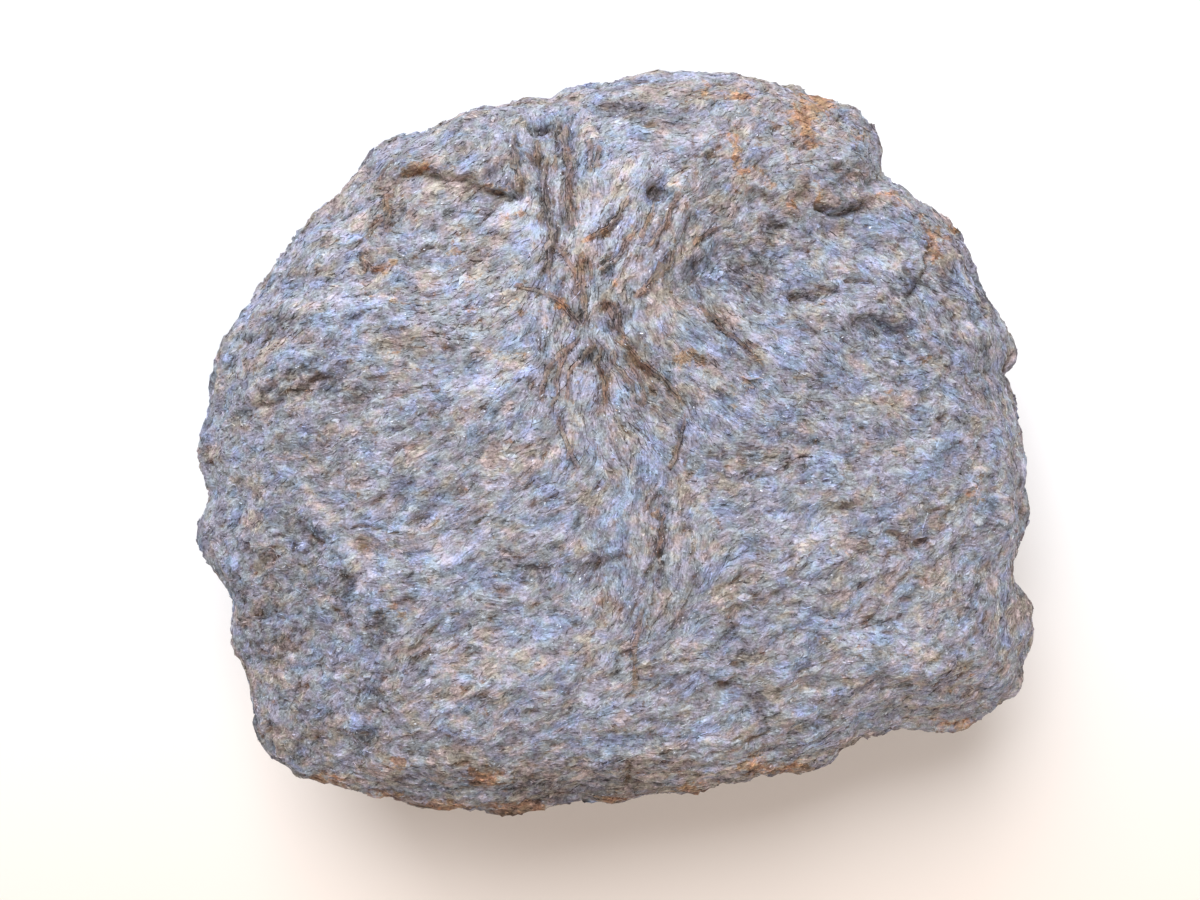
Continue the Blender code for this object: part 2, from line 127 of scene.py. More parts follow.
# raised brown ribs: points, height, half width
marks["ribs"] = [
    ([(-6, 32.6), (-6.6, 31), (-6.4, 29.5), (-5.9, 28), (-6.2, 26), (-6.3, 24.5), (-5.9, 23),
      (-6.4, 20.8)], 0.6, 0.34),
    ([(-8.2, 29.8), (-8.7, 27), (-8.6, 24.5), (-8.1, 23), (-7.9, 21), (-8.3, 19),
      (-8.3, 16)], 0.45, 0.3),
    ([(-7.4, 29.4), (-7.6, 27.4)], 0.2, 0.16),
    ([(-8, 20.4), (-6.5, 19), (-5.5, 17), (-5.2, 14)], 0.3, 0.2),
    ([(-11.9, 31.8), (-11.6, 28.5), (-11.2, 26.5), (-11.5, 25.2)], 0.35, 0.28),
    ([(-9.4, 31), (-9.2, 28)], 0.25, 0.22),
    ([(-3.9, 31), (-3.9, 27.4)], 0.2, 0.2),
    ([(-3.1, 30.4), (-3.2, 27.8)], 0.2, 0.2),
    ([(-0.2, 25.4), (-0.6, 23.6), (-1.8, 22), (-2.9, 21.2), (-4.6, 20.4)], 0.38, 0.28),
    ([(3.2, 25.2), (2.6, 23.6), (1.9, 22.1), (1.2, 20.8)], 0.28, 0.19),
    ([(5.6, 26.1), (4.5, 24.3), (3.9, 22.1), (2.9, 20.8), (1.8, 19.6)], 0.32, 0.25),
    ([(0.8, 21.6), (-0.4, 19.8), (-1.6, 18.4), (-3, 17.2)], 0.3, 0.28),
    ([(-4.7, 19.6), (-4.8, 17.7), (-4.6, 15.6), (-4.5, 14), (-4.6, 11)], 0.34, 0.26),
    ([(-3.9, 18.6), (-3.8, 16)], 0.24, 0.18),
    ([(4.6, 20.2), (4.2, 17.7), (2.9, 16.9), (1.6, 15.4), (0.4, 14.2)], 0.34, 0.25),
    ([(9.2, 22), (8.2, 21.2), (6.4, 20.4)], 0.28, 0.2),
    ([(-8.4, 15.4), (-7.2, 14.2), (-5.8, 12.8), (-4.8, 11.2)], 0.32, 0.28),
    ([(6.8, 14.2), (8.4, 12.8), (10.4, 10.8), (12.6, 9.2), (13.6, 8), (14.2, 7)], 0.2, 0.16),
    ([(-1.4, 10.6), (0.6, 8.8), (2.2, 7.2), (4, 5.8), (5.6, 4), (6, 2.8)], 0.32, 0.24),
    ([(-4.6, 11), (-6.4, 9), (-7.4, 6.2), (-7.4, 4.2), (-8.4, 3)], 0.25, 0.2),
    ([(-6, 9.6), (-7.8, 8), (-8.8, 6), (-9, 3.4)], 0.25, 0.22),
    ([(-3.2, 10), (-5, 8), (-6.2, 6.6), (-6.4, 3.2)], 0.25, 0.22),
    ([(-2.6, 9.8), (-3.4, 8), (-2.4, 6), (-2.2, 3)], 0.25, 0.22),
    ([(-1.8, 9.4), (-1.2, 7.4), (0.4, 5.6), (0.4, 3)], 0.25, 0.22),
    ([(-0.8, 9), (0.8, 7), (1.6, 5), (1.4, 2.8)], 0.25, 0.22),
    ([(-2.4, 14.6), (-1.8, 12.6), (-1.2, 10.8)], 0.25, 0.22),
    ([(-1.6, 14.4), (-1, 12), (-0.4, 10)], 0.25, 0.22),
    ([(-25.2, 25.6), (-24.8, 23.2), (-24.9, 20.6)], 0.45, 0.3),
    ([(-25.4, 23.2), (-26.2, 22), (-27.2, 20.6)], 0.25, 0.24),
    ([(-27.8, 19.2), (-27.2, 18.2), (-26.4, 17.4), (-24.4, 18.2)], 0.25, 0.24),
    ([(-12, 15.8), (-9.6, 15.4), (-8.2, 15)], 0.2, 0.2),
    ([(6, 2.8), (5.4, -0.6), (4.2, -3.6)], 0.2, 0.18),
    ([(3.6, -7.6), (3.4, -10.5), (2.6, -12.6)], 0.2, 0.18),
    ([(-7.4, 3), (-6.4, -0.4), (-5, -3.6)], 0.2, 0.2),
    ([(1.6, -17), (0.6, -21.6), (0.9, -26.4)], 0.2, 0.2),
]

# cracks and slots: points, depth, half width
marks["cracks"] = [
    ([(-2.4, 14.8), (-2.2, 13), (-1.6, 11.2), (-0.8, 10), (0.6, 8.6), (2, 6.8), (2.6, 5.2),
      (3, 2.8)], 0.55, 0.34),
    ([(-28, 19.4), (-27.5, 18), (-27.4, 16.6), (-25.8, 16.2)], 0.55, 0.38),
    ([(-23.6, 24), (-23.8, 21)], 0.35, 0.32),
    ([(-38.6, 4.4), (-36.2, 5.8), (-34.5, 7.2), (-31.5, 8.6)], 0.32, 0.36),
    ([(-36.4, 4.6), (-34, 5.2), (-32, 6.2), (-29.2, 7.2)], 0.35, 0.36),
    ([(-40.4, 2.6), (-37.6, 3.4), (-34.2, 4.2), (-30.4, 4.4)], 0.32, 0.32),
    ([(-40.2, 9.8), (-37.6, 10.8), (-34.8, 11.6), (-32, 12.4)], 0.35, 0.34),
    ([(-38, 12.4), (-35.6, 12.6), (-33, 13)], 0.25, 0.36),
    ([(-29.6, 12.6), (-27, 12), (-24.6, 12.2)], 0.25, 0.34),
    ([(14.4, 22), (15.6, 21.9), (16.8, 22.2)], 0.4, 0.36),
    ([(15.4, 15.3), (17, 14.6), (18.4, 14.7), (20.4, 14.2)], 0.35, 0.34),
    ([(12.6, 25.8), (14.6, 25.2)], 0.45, 0.4),
    ([(10, 23), (13.2, 23.2)], 0.25, 0.35),
    ([(23.4, 12.4), (25.6, 12), (27.4, 11.2), (29.6, 10.9)], 0.4, 0.36),
    ([(25.4, 10.9), (27.6, 10.4)], 0.35, 0.36),
    ([(22.4, 16.6), (25, 16.2)], 0.4, 0.4),
    ([(28.4, 14.2), (29.8, 15.8), (31, 17.6), (31.2, 19.6), (31.8, 21.4)], 0.4, 0.34),
    ([(0, 32.6), (2.6, 32.6), (3.8, 31.8)], 0.45, 0.36),
    ([(-10.4, 32.6), (-9.8, 31.7), (-9, 31.8), (-7.2, 32.6)], 0.8, 0.34),
    ([(0.2, -33), (0, -35), (-0.2, -36.8)], 0.5, 0.3),
    ([(8, 29.4), (9.4, 29.4)], 0.45, 0.45),
    ([(-14.8, 17.3), (-12.6, 18.2)], 0.3, 0.4),
    ([(-19.2, 10), (-18, 8.6)], 0.4, 0.4),
    ([(-24, 27.2), (-21.8, 27.6), (-19.4, 26.9), (-15.2, 26.9)], 0.5, 0.34),
    ([(-17, 26.2), (-14.6, 25.7), (-11.6, 25)], 0.5, 0.36),
    ([(19, 24.2), (21.4, 23.3), (23.6, 23.9), (25, 24.8)], 0.5, 0.4),
    ([(3.8, -6), (4, -10.4), (2.9, -14.8)], 0.28, 0.32),
    ([(2.2, -17.8), (1.6, -22.6), (0.3, -27.4)], 0.25, 0.3),
    ([(-34.4, -9), (-31.6, -11.2), (-28.6, -15.6)], 0.35, 0.7),
    ([(-26.6, -18), (-23.8, -21.4), (-24.8, -25.4)], 0.35, 0.7),
    ([(-11.7, -13.1), (-6, -14.3), (0.2, -11.8)], 0.4, 0.36),
    ([(11.1, -1.2), (13.2, -5), (13.5, -9.9)], 0.3, 0.34),
    ([(12.1, -20.4), (11.8, -23.5), (10.6, -26.6)], 0.3, 0.34),
    ([(-27, -9.6), (-20, -8)], 0.35, 0.36),
    ([(22, -20), (29, -18.6)], 0.35, 0.36),
]

# where the sides stand out further: x, y, reach along x, reach along y, how far
marks["swells"] = [
    (-32.4, 24, 3.2, 3.2, 1.3), (-24.4, 31.2, 2.4, 2, 1), (-29, 27, 2.4, 2.4, 0.4),
    (18.8, 36.2, 2, 1.6, 0.7), (39.6, 6.8, 1.8, 2.4, 0.9), (-7, 35.8, 1.6, 1.4, 0.4),
]

# small pits: x, y, radius, depth
marks["pits"] = [
    (3.1, 25.5, 1, 1.1), (30.1, -11, 0.8, 0.9), (-27.3, -11.3, 0.9, 0.7), (9.8, -25.5, 0.6, 0.7),
    (-27.2, -30.7, 0.9, 0.6), (5.9, -9.5, 0.6, 0.5),
]

# stained patches, darker patches of painted shade and brighter patches of lighter mica and painted
# sheen: x, y, reach along x, reach along y, strength
marks["rust"] = [
    (19, 34, 1.8, 1.1, 1), (20.4, 35.2, 0.7, 1, 0.8), (17.8, 33, 1, 0.7, 0.7),
    (11.6, 35.6, 1.6, 0.5, 1), (7.9, 36, 0.8, 0.9, 0.8), (10.8, 31, 0.9, 0.7, 0.5),
    (11.3, 29.2, 0.5, 1.2, 0.9), (12, 27.9, 0.7, 0.5, 1), (18.5, 31.6, 0.8, 0.6, 1),
    (17.7, 27.8, 0.8, 0.3, 0.8), (14.6, 26.7, 0.6, 0.9, 0.5), (19.6, 25.2, 0.4, 1, 0.9),
    (17.2, 24.2, 0.9, 0.7, 0.7), (26.8, 25.2, 1.3, 0.5, 0.9), (28.2, 24.4, 0.8, 0.5, 0.5),
    (30.4, 22.8, 0.6, 0.7, 0.7), (31.6, 21.2, 0.9, 0.6, 0.9), (33.6, 21.6, 0.7, 0.9, 0.9),
    (31.8, 19.6, 0.7, 1.2, 0.7), (31.2, 17.8, 0.4, 1, 0.8), (31.2, 12, 0.5, 0.7, 0.6),
    (20.2, 14.2, 1.8, 0.4, 0.5), (30.8, 8, 0.7, 0.9, 0.6), (6, 8.4, 1.3, 0.8, 0.7),
    (12.2, 6, 0.8, 0.7, 0.7), (11, 4.2, 0.4, 1.2, 0.8), (27, 4.2, 0.4, 1.2, 0.6),
    (-2.5, 21.4, 0.5, 0.6, 1.1), (-4.2, 20.6, 0.6, 0.4, 0.7), (-7, 13.8, 0.9, 0.6, 1.1),
    (-1.6, 16, 0.8, 0.6, 0.6), (-11.2, 23.3, 0.9, 0.3, 0.9), (-21.5, 28.2, 1.2, 0.6, 1.1),
    (-23.2, 27.5, 0.9, 0.3, 0.9), (-24.2, 18.1, 0.6, 0.4, 1.1), (-25.2, 17.4, 0.7, 0.4, 0.7),
    (-18.3, 19.4, 0.5, 0.9, 0.6), (-16.2, 13.4, 0.6, 0.3, 0.9), (-24.4, 8.9, 0.8, 0.3, 0.9),
    (-22, 7, 1.2, 0.4, 0.6), (-14, 25.9, 2, 0.4, 0.7), (-11, 12.8, 2, 0.4, 0.6),
    (-11.5, 8.8, 1.4, 0.5, 0.6), (-23.5, 14.4, 2, 0.6, 0.4), (-19.1, -38.3, 2.6, 0.7, 1.5),
    (-11.2, -38.2, 3.2, 0.7, 1.4), (16.8, -34.3, 3, 0.8, 0.9), (34.4, -29.7, 3, 0.8, 0.8),
    (-25.4, -37.2, 2.4, 0.7, 1.2), (-23.6, -33.5, 1.5, 0.7, 0.8), (-14.7, -35.2, 2.2, 0.9, 1.1),
    (-1.7, -37.4, 2.2, 0.6, 1.1), (6.7, -36.3, 2.2, 0.6, 0.9), (12.6, -33.7, 1.5, 1.2, 0.9),
    (-31, -35.4, 2.4, 0.8, 0.8), (-24, -18, 1.6, 0.8, 0.6), (22, -12, 1.4, 0.6, 0.6),
    (19.2, 30.5, 0.7, 0.5, 0.9), (24.2, 31.3, 1.2, 0.8, 0.5), (14.5, 31, 9, 6, 0.14),
    (-16, 16, 10, 8, 0.12), (7, 8, 3, 2.2, 0.25), (3, -8, 1, 1.2, 0.6), (36, -6, 1, 1.4, 0.6),
    (-34, -2, 1.2, 0.6, 0.6),
]

# brown above zero, bluish below it
marks["brown"] = [
    (-4, 12, 4.5, 6, 0.3), (-3.5, 18, 3.5, 3, 0.6), (0.5, 7.5, 3, 2, 0.5), (4, 20, 2.5, 6, 0.5),
    # the strong brown at (-21.5, 26.2), below the upper-left ledge, is partly staining and partly
    # painted shade under that ledge
    (-13.5, 25.6, 3, 0.8, 1.2), (-21.5, 26.2, 4, 1.3, 2.2), (-25.8, 18.2, 2.2, 2.6, 1.2),
    (-24.9, 23, 1, 2.6, 0.9), (-30, 10.6, 5, 1, 0.6), (-17, 9.6, 4, 1.2, 0.6),
    (-38, 11.4, 3, 0.9, 1), (-20.5, 12, 4, 1, 0.6), (-15.5, 19.8, 3, 1.5, 0.6),
    (12, 22.5, 5, 3, 0.3), (6.5, 20.5, 2.5, 2, 0.6), (22.5, 24.6, 3.5, 1.2, 1.2),
    (18, 24.6, 2.2, 1.2, 1), (20, 30.5, 3.5, 1, 0.6), (32, 19, 2, 4, 0.9), (8, 12, 3.5, 2.5, 0.3),
    (10, 8.5, 4, 1.6, 0.3), (7, 36, 6, 1.2, 0.8), (-38.5, 9.2, 2, 0.8, 0.6), (0, -36.5, 40, 4, 1),
    (-38, -25, 6, 9, 0.4), (17, 34, 6, 3, 0.8), (12, 29, 2, 3, 0.9), (5, 33, 4, 2, 0.5),
    (18, 25.6, 3, 1.8, 0.7), (42, -20, 4, 12, 0.5), (-11, 33.5, 4, 1, 0.5), (3, 30, 4, 2, 0.3),
    (4.8, 26.4, 0.9, 0.5, 1.6), (24, 17, 14, 8, -0.35), (-34, 16, 10, 8, -0.15),
    (10, 25.9, 2.2, 0.7, -1.6), (27, 22.4, 2.8, 1.2, -1.3), (-34, 20.8, 1.8, 0.9, -1.5),
    (-29, 21, 2, 0.7, -1.5), (-9.9, 21.8, 1.2, 0.9, -1.4), (-11.8, 27.4, 1.1, 1.2, -1),
    (24.4, 20.4, 1.6, 0.7, -1), (-5, 6, 1.3, 1.3, -1.2), (-1, 4.8, 0.9, 1.3, -1.4),
    (22, 6.6, 1.6, 0.9, -1), (-24, 16.4, 2.6, 0.9, -1), (-10.4, 19.4, 0.7, 1, -1),
    (-13.5, 6.2, 3.4, 1.4, -0.9), (14.5, 29.8, 3, 1.4, -0.8), (20, 18.6, 4, 1.6, -0.6),
    (-28, -22, 4, 2, -0.8), (18, -24, 5, 2, -0.8), (32, -4, 3, 1.6, -0.8),
]

# darker patches, painted shade: under the ledges, in pits and cracks, on slopes turned from the
# light and along the near side
marks["dark"] = [
    (-1.5, 34.2, 3, 0.8, 0.9), (0.6, 33.4, 0.8, 0.8, 1), (11, 18.5, 5, 3.6, 0.7),
    (15.5, 21.8, 1.6, 1, 1.2), (8.4, 29.4, 0.9, 0.5, 1), (13.6, 25.3, 1.4, 0.6, 0.9),
    (18.2, 14.7, 1.6, 0.5, 1.2), (23, 24.2, 2.4, 0.9, 0.9), (26.2, 11.8, 2.8, 1, 1.2),
    (28.8, 16, 1.8, 1.6, 0.9), (33.2, 16.2, 1.5, 1.4, 0.5), (36.5, 14, 1.8, 1.8, 0.5),
    (29.5, 9, 3, 1.2, 0.5), (6.3, 16.6, 1.8, 0.8, 0.9), (6.5, 18.2, 1.6, 0.8, 0.6),
    (3, 25.5, 1, 0.8, 1.5), (-35.8, 12.2, 3.2, 0.7, 1), (-38, 10.5, 2, 0.4, 0.9),
    (-34.5, 7, 3, 0.6, 0.8), (-32, 5.6, 3.4, 0.8, 0.9), (-37.5, 4.6, 3, 0.9, 0.9),
    (-30.5, 4.2, 1.6, 1, 0.8), (-27.2, 4.8, 1.2, 0.8, 0.7), (-31.3, 20.2, 1, 1, 0.9),
    (-29, 23, 1.2, 1, 0.6), (-20.6, 18.4, 0.8, 0.5, 0.8), (-27.8, 12.6, 3.2, 0.8, 0.6),
    (-18.3, 9, 0.8, 1, 0.8), (-23, 7.6, 1.6, 0.5, 0.7), (-9.2, 31.9, 1.5, 0.4, 1.4),
    (-18, 30.2, 1.4, 0.8, 0.6), (-11.8, 25, 1.6, 0.4, 0.9), (12.5, 8.5, 2, 1.2, 0.5),
    (0, -37, 36, 4.4, 0.8), (-37, -20, 4, 7, 0.5), (44, -22, 3.5, 9, 0.5),
    (-33, -10, 2.2, 1.6, 0.9), (-29.5, -15, 2, 2.2, 1), (-25.5, -20, 1.8, 2.2, 1),
    (-25.6, -26.5, 1.5, 1.5, 0.8), (-27.2, -30.7, 1.4, 1.2, 1), (-10, -14, 3, 1.2, 0.9),
    (3, -13, 1, 3, 0.8), (20, -2, 5, 1.4, 0.6), (35.9, -16.2, 1.4, 1.4, 0.9), (28, 12, 10, 7, 0.4),
    (13.7, -28.1, 1.2, 1.6, 0.7), (12.1, -21.9, 1.2, 1.8, 0.6), (27, -14, 1.6, 1.2, 0.6),
]

# brighter patches: partly lighter mica, partly painted sheen and painted light where the mica faces
# the light
marks["pale"] = [
    (-16.4, 4.9, 2.2, 0.7, 1.8), (-13.5, 6, 2.4, 0.8, 2), (-10.6, 7.3, 1.8, 0.7, 1.8),
    (-13, 22.5, 1.8, 1.3, 0.9), (-9.9, 22, 1, 0.8, 1), (-7.3, 26.6, 0.5, 2, 0.6),
    (-3.4, 23.8, 1.2, 1.4, 1.1), (-3, 28.6, 2.4, 2, 0.5), (0.6, 27.4, 1.6, 1.4, 0.5),
    (-35.5, 19.6, 1.8, 1.2, 0.9), (-29.5, 21, 2.6, 0.8, 1), (-11, 24.2, 2.4, 0.5, 1.2),
    (-26.5, 14.4, 2.8, 0.7, 1.4), (-36.4, 17.8, 0.8, 0.7, 0.7), (-30, 14.2, 1.4, 0.8, 0.9),
    (-16, 16.2, 3.4, 0.9, 0.8), (-35.5, 14, 2.5, 0.6, 0.6), (-35.5, 9, 2.4, 0.8, 0.6),
    (20.8, 18.2, 2.6, 1.3, 0.9), (26.4, 18, 1.4, 0.8, 0.9), (12.5, 25.9, 2.4, 0.8, 0.9),
    (13.8, 30.6, 2.4, 1.2, 0.5), (20.4, 32, 1.4, 0.9, 0.9), (12.2, 31.8, 0.6, 0.3, 1),
    (8.6, 31.6, 1.6, 1, 0.7), (4.6, 27.8, 1.6, 0.8, 0.4), (4.8, 26.4, 0.9, 0.4, 3),
    (36.5, 11.4, 2.2, 0.8, 1), (24, 21, 1.8, 0.8, 0.6), (-4, 6, 1, 1.4, 0.7),
    (-1.2, 5, 0.9, 1.6, 0.7), (14.5, 9.4, 1.6, 1, 0.5), (22.8, 13.4, 1.4, 0.8, 0.6),
    (-34, -24.4, 3.6, 0.9, 0.9), (-20, -12, 5, 3, 0.7), (-28.6, -12.6, 2, 1.6, 0.8),
    (18.8, -10, 2.6, 1.4, 0.9), (29.9, -22.4, 1.8, 1.4, 0.9), (23.5, -21.9, 1.5, 1.6, 0.7),
    (-16, -24, 4, 2, 0.5), (10, -31, 5, 1.6, 0.5), (-2, -26, 3, 1.6, 0.5), (-2, 22, 6, 7, 0.5),
    (-15.5, -36.8, 2.6, 0.7, 1.2), (-5.2, -34.8, 3, 1, 1), (4, -35.2, 3.4, 0.8, 1.2),
    (9.6, -34.4, 2, 0.9, 1.2), (-28.6, -34.8, 2.6, 0.8, 0.8),
]


def deselectAll():
    bpy.ops.object.select_all(action="DESELECT")


def makeActive(piece):
    deselectAll()
    piece.select_set(True)
    bpy.context.view_layer.objects.active = piece


def applyModifiers(piece):
    makeActive(piece)
    for modifier in list(piece.modifiers):
        bpy.ops.object.modifier_apply(modifier=modifier.name)


def readVectors(items, name):
    values = np.empty(len(items) * 3, dtype=np.float32)
    items.foreach_get(name, values)
    return values.reshape(-1, 3).astype(float)


def writeVectors(items, name, values):
    items.foreach_set(name, np.ascontiguousarray(values, dtype=np.float32).ravel())


def movePoints(mesh, points):
    # in metres; none goes below the floor
    points[:, 2] = np.maximum(points[:, 2], 0.0)
    writeVectors(mesh.vertices, "co", points)
    mesh.update()


def unit(vectors):
    return vectors / np.maximum(np.linalg.norm(vectors, axis=1, keepdims=True), 1e-9)


def squareTo(vectors, others):
    return unit(vectors - others * (vectors * others).sum(axis=1, keepdims=True))


def fade(value, start, end):
    share = np.clip((value - start) / (end - start), 0.0, 1.0)
    return share * share * (3.0 - 2.0 * share)


def softNoise(places, seed):
    # noise between about -1 and 1; the places are already divided by the size of the pattern
    return np.array([noise.noise(Vector((x + seed, y - seed, z))) for x, y, z in places])


def seenPlace(points):
    # where each point shows on the level plane of the marks
    scale = (eye[2] - marks["plane"]) / (eye[2] - points[:, 2])
    return (points[:, 0] - eye[0]) * scale + eye[0], (points[:, 1] - eye[1]) * scale + eye[1]


def strayAt(points):
    # how far the marks are off their smooth course at each place, along x and along y
    far, size = marks["stray"]
    return [far * softNoise(points / size, seed) for seed in (71.0, 83.0)]


def patches(rows, x, y):
    # soft ellipses, each with its own strength
    total = np.zeros(len(x))
    for cx, cy, along, across, strength in rows:
        total += strength * np.exp(-((x - cx) / along) ** 2 - ((y - cy) / across) ** 2)
    return total


def lineDistance(points, x, y):
    # distance to a line of points, above zero on its far side, and how whole the line is there
    nearest = np.full(len(x), 1e9)
    signed = np.zeros(len(x))
    way = np.zeros(len(x))
    spans = list(zip(points[:-1], points[1:]))
    for index, ((ax, ay), (bx, by)) in enumerate(spans):
        dx, dy = bx - ax, by - ay
        share = np.clip(((x - ax) * dx + (y - ay) * dy) / (dx * dx + dy * dy), 0.0, 1.0)
        away = np.hypot(x - ax - share * dx, y - ay - share * dy)
        side = np.where(dx * (y - ay) - dy * (x - ax) < 0.0, -1.0, 1.0)
        closer = away < nearest
        nearest = np.where(closer, away, nearest)
        signed = np.where(closer, away * side, signed)
        way = np.where(closer, (index + share) / len(spans), way)
    return signed, fade(way, 0.0, 0.1) * fade(1.0 - way, 0.0, 0.1)


def streakAngle(points, x, y):
    # direction of the streaks at each place, from the nearest stations, with matted swirls
    cosine = np.zeros(len(x))
    sine = np.zeros(len(x))
    for sx, sy, degrees in stone["streaks"]:
        pull = 1.0 / ((x - sx) ** 2 + (y - sy) ** 2 + 4.0) ** 1.5
        cosine += pull * math.cos(math.radians(2 * degrees))
        sine += pull * math.sin(math.radians(2 * degrees))
    size, degrees = stone["swirls"]
    return 0.5 * np.arctan2(sine, cosine) + math.radians(degrees) * softNoise(points / size, 52.0)


def angleAt(x, y):
    return streakAngle(np.array([(x, y, marks["plane"])]), np.array([x]), np.array([y]))[0]


def turnWeights(angle, flatness):
    # how much each of the fixed directions counts; the rest is left to the layered edge
    turns = stone["turns"]
    weights = np.array([np.maximum(np.cos(2 * (angle - math.pi * turn / turns)), 0.0) ** 8
                        for turn in range(turns)])
    return weights / weights.sum(axis=0) * flatness


def drawnOut(points, weights, length, width):
    # for each fixed direction, and then for the layered edge: the points that it counts for,
    # its weight there and their places in a pattern drawn out that way
    x, y, z = points.T
    for turn, weight in enumerate(weights):
        angle = math.pi * turn / len(weights)
        used = weight > 0.02
        along = (x * math.cos(angle) + y * math.sin(angle)) / length
        across = (y * math.cos(angle) - x * math.sin(angle)) / width
        places = np.column_stack((along + 5.3 * turn, across, z / width))
        yield used, weight[used], places[used]
    rest = 1.0 - weights.sum(axis=0)
    used = rest > 0.02
    yield used, rest[used], np.column_stack((x / length, y / length, z / (0.7 * width)))[used]


def streakNoise(points, weights, length, width, seed):
    total = np.zeros(len(points))
    for used, weight, places in drawnOut(points, weights, length, width):
        total[used] += weight * softNoise(places, seed)
    return total


def lappedPlates(points, weights, length, width, seed):
    # plates that lap over each other: each cell has its own height and tilt
    total = np.zeros(len(points))
    mixing = np.array(((12.98, 39.35, 73.16), (78.23, 11.14, 52.24), (37.72, 83.15, 9.77)))
    for used, weight, places in drawnOut(points, weights, length, width):
        if not used.any():
            continue
        places = places + (seed, -seed, 0.0)
        hearts = np.array([noise.voronoi(Vector(place))[1][0] for place in places])
        luck = np.modf(np.abs(np.sin(hearts @ mixing) * 437.585))[0]
        away = places - hearts
        total[used] += weight * (0.9 * luck[:, 0] - 0.45 + away[:, 0] * (0.2 + 0.9 * luck[:, 1])
                                 + 1.2 * away[:, 1] * (luck[:, 2] - 0.5))
    return total


def terraces(value, steps):
    # turns a slope into flat plates with quick edges
    level = value * steps
    return (np.floor(level) + fade(level - np.floor(level), 0.72, 1.0)) / steps


def saveAttribute(mesh, name, values):
    # three numbers for each vertex, which the materials read
    writeVectors(mesh.attributes.new(name, "FLOAT_VECTOR", "POINT").data, "vector", values)


def copyOfNode(node, name):
    makeActive(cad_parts[node])
    bpy.ops.object.duplicate()
    piece = bpy.context.view_layer.objects.active
    piece.parent = None
    piece.name = name
    piece.data.materials.clear()
    for key in list(piece.keys()):
        del piece[key]
    bpy.ops.object.mode_set(mode="EDIT")
    bpy.ops.mesh.select_all(action="SELECT")
    bpy.ops.mesh.remove_doubles(threshold=0.000001)
    bpy.ops.object.mode_set(mode="OBJECT")
    return piece


def fineSkin(piece):
    # even small faces all over, half as large again on the upper side, with no facets left
    remesh = piece.modifiers.new("even skin", "REMESH")
    remesh.mode = "VOXEL"
    remesh.voxel_size = stone["voxel"] * mm
    smooth = piece.modifiers.new("no facets", "SMOOTH")
    smooth.factor = 0.5
    smooth.iterations = stone["smoothing"]
    applyModifiers(piece)
    bpy.ops.object.mode_set(mode="EDIT")
    bpy.ops.mesh.select_mode(type="FACE")
    bpy.ops.mesh.select_all(action="DESELECT")
    bpy.ops.object.mode_set(mode="OBJECT")
    faces = piece.data.polygons
    faces.foreach_set("select", readVectors(faces, "normal")[:, 2] > stone["finerAbove"])
    bpy.ops.object.mode_set(mode="EDIT")
    bpy.ops.mesh.subdivide(number_cuts=1)
    bpy.ops.mesh.vertices_smooth(factor=0.5, repeat=2)
    bpy.ops.object.mode_set(mode="OBJECT")


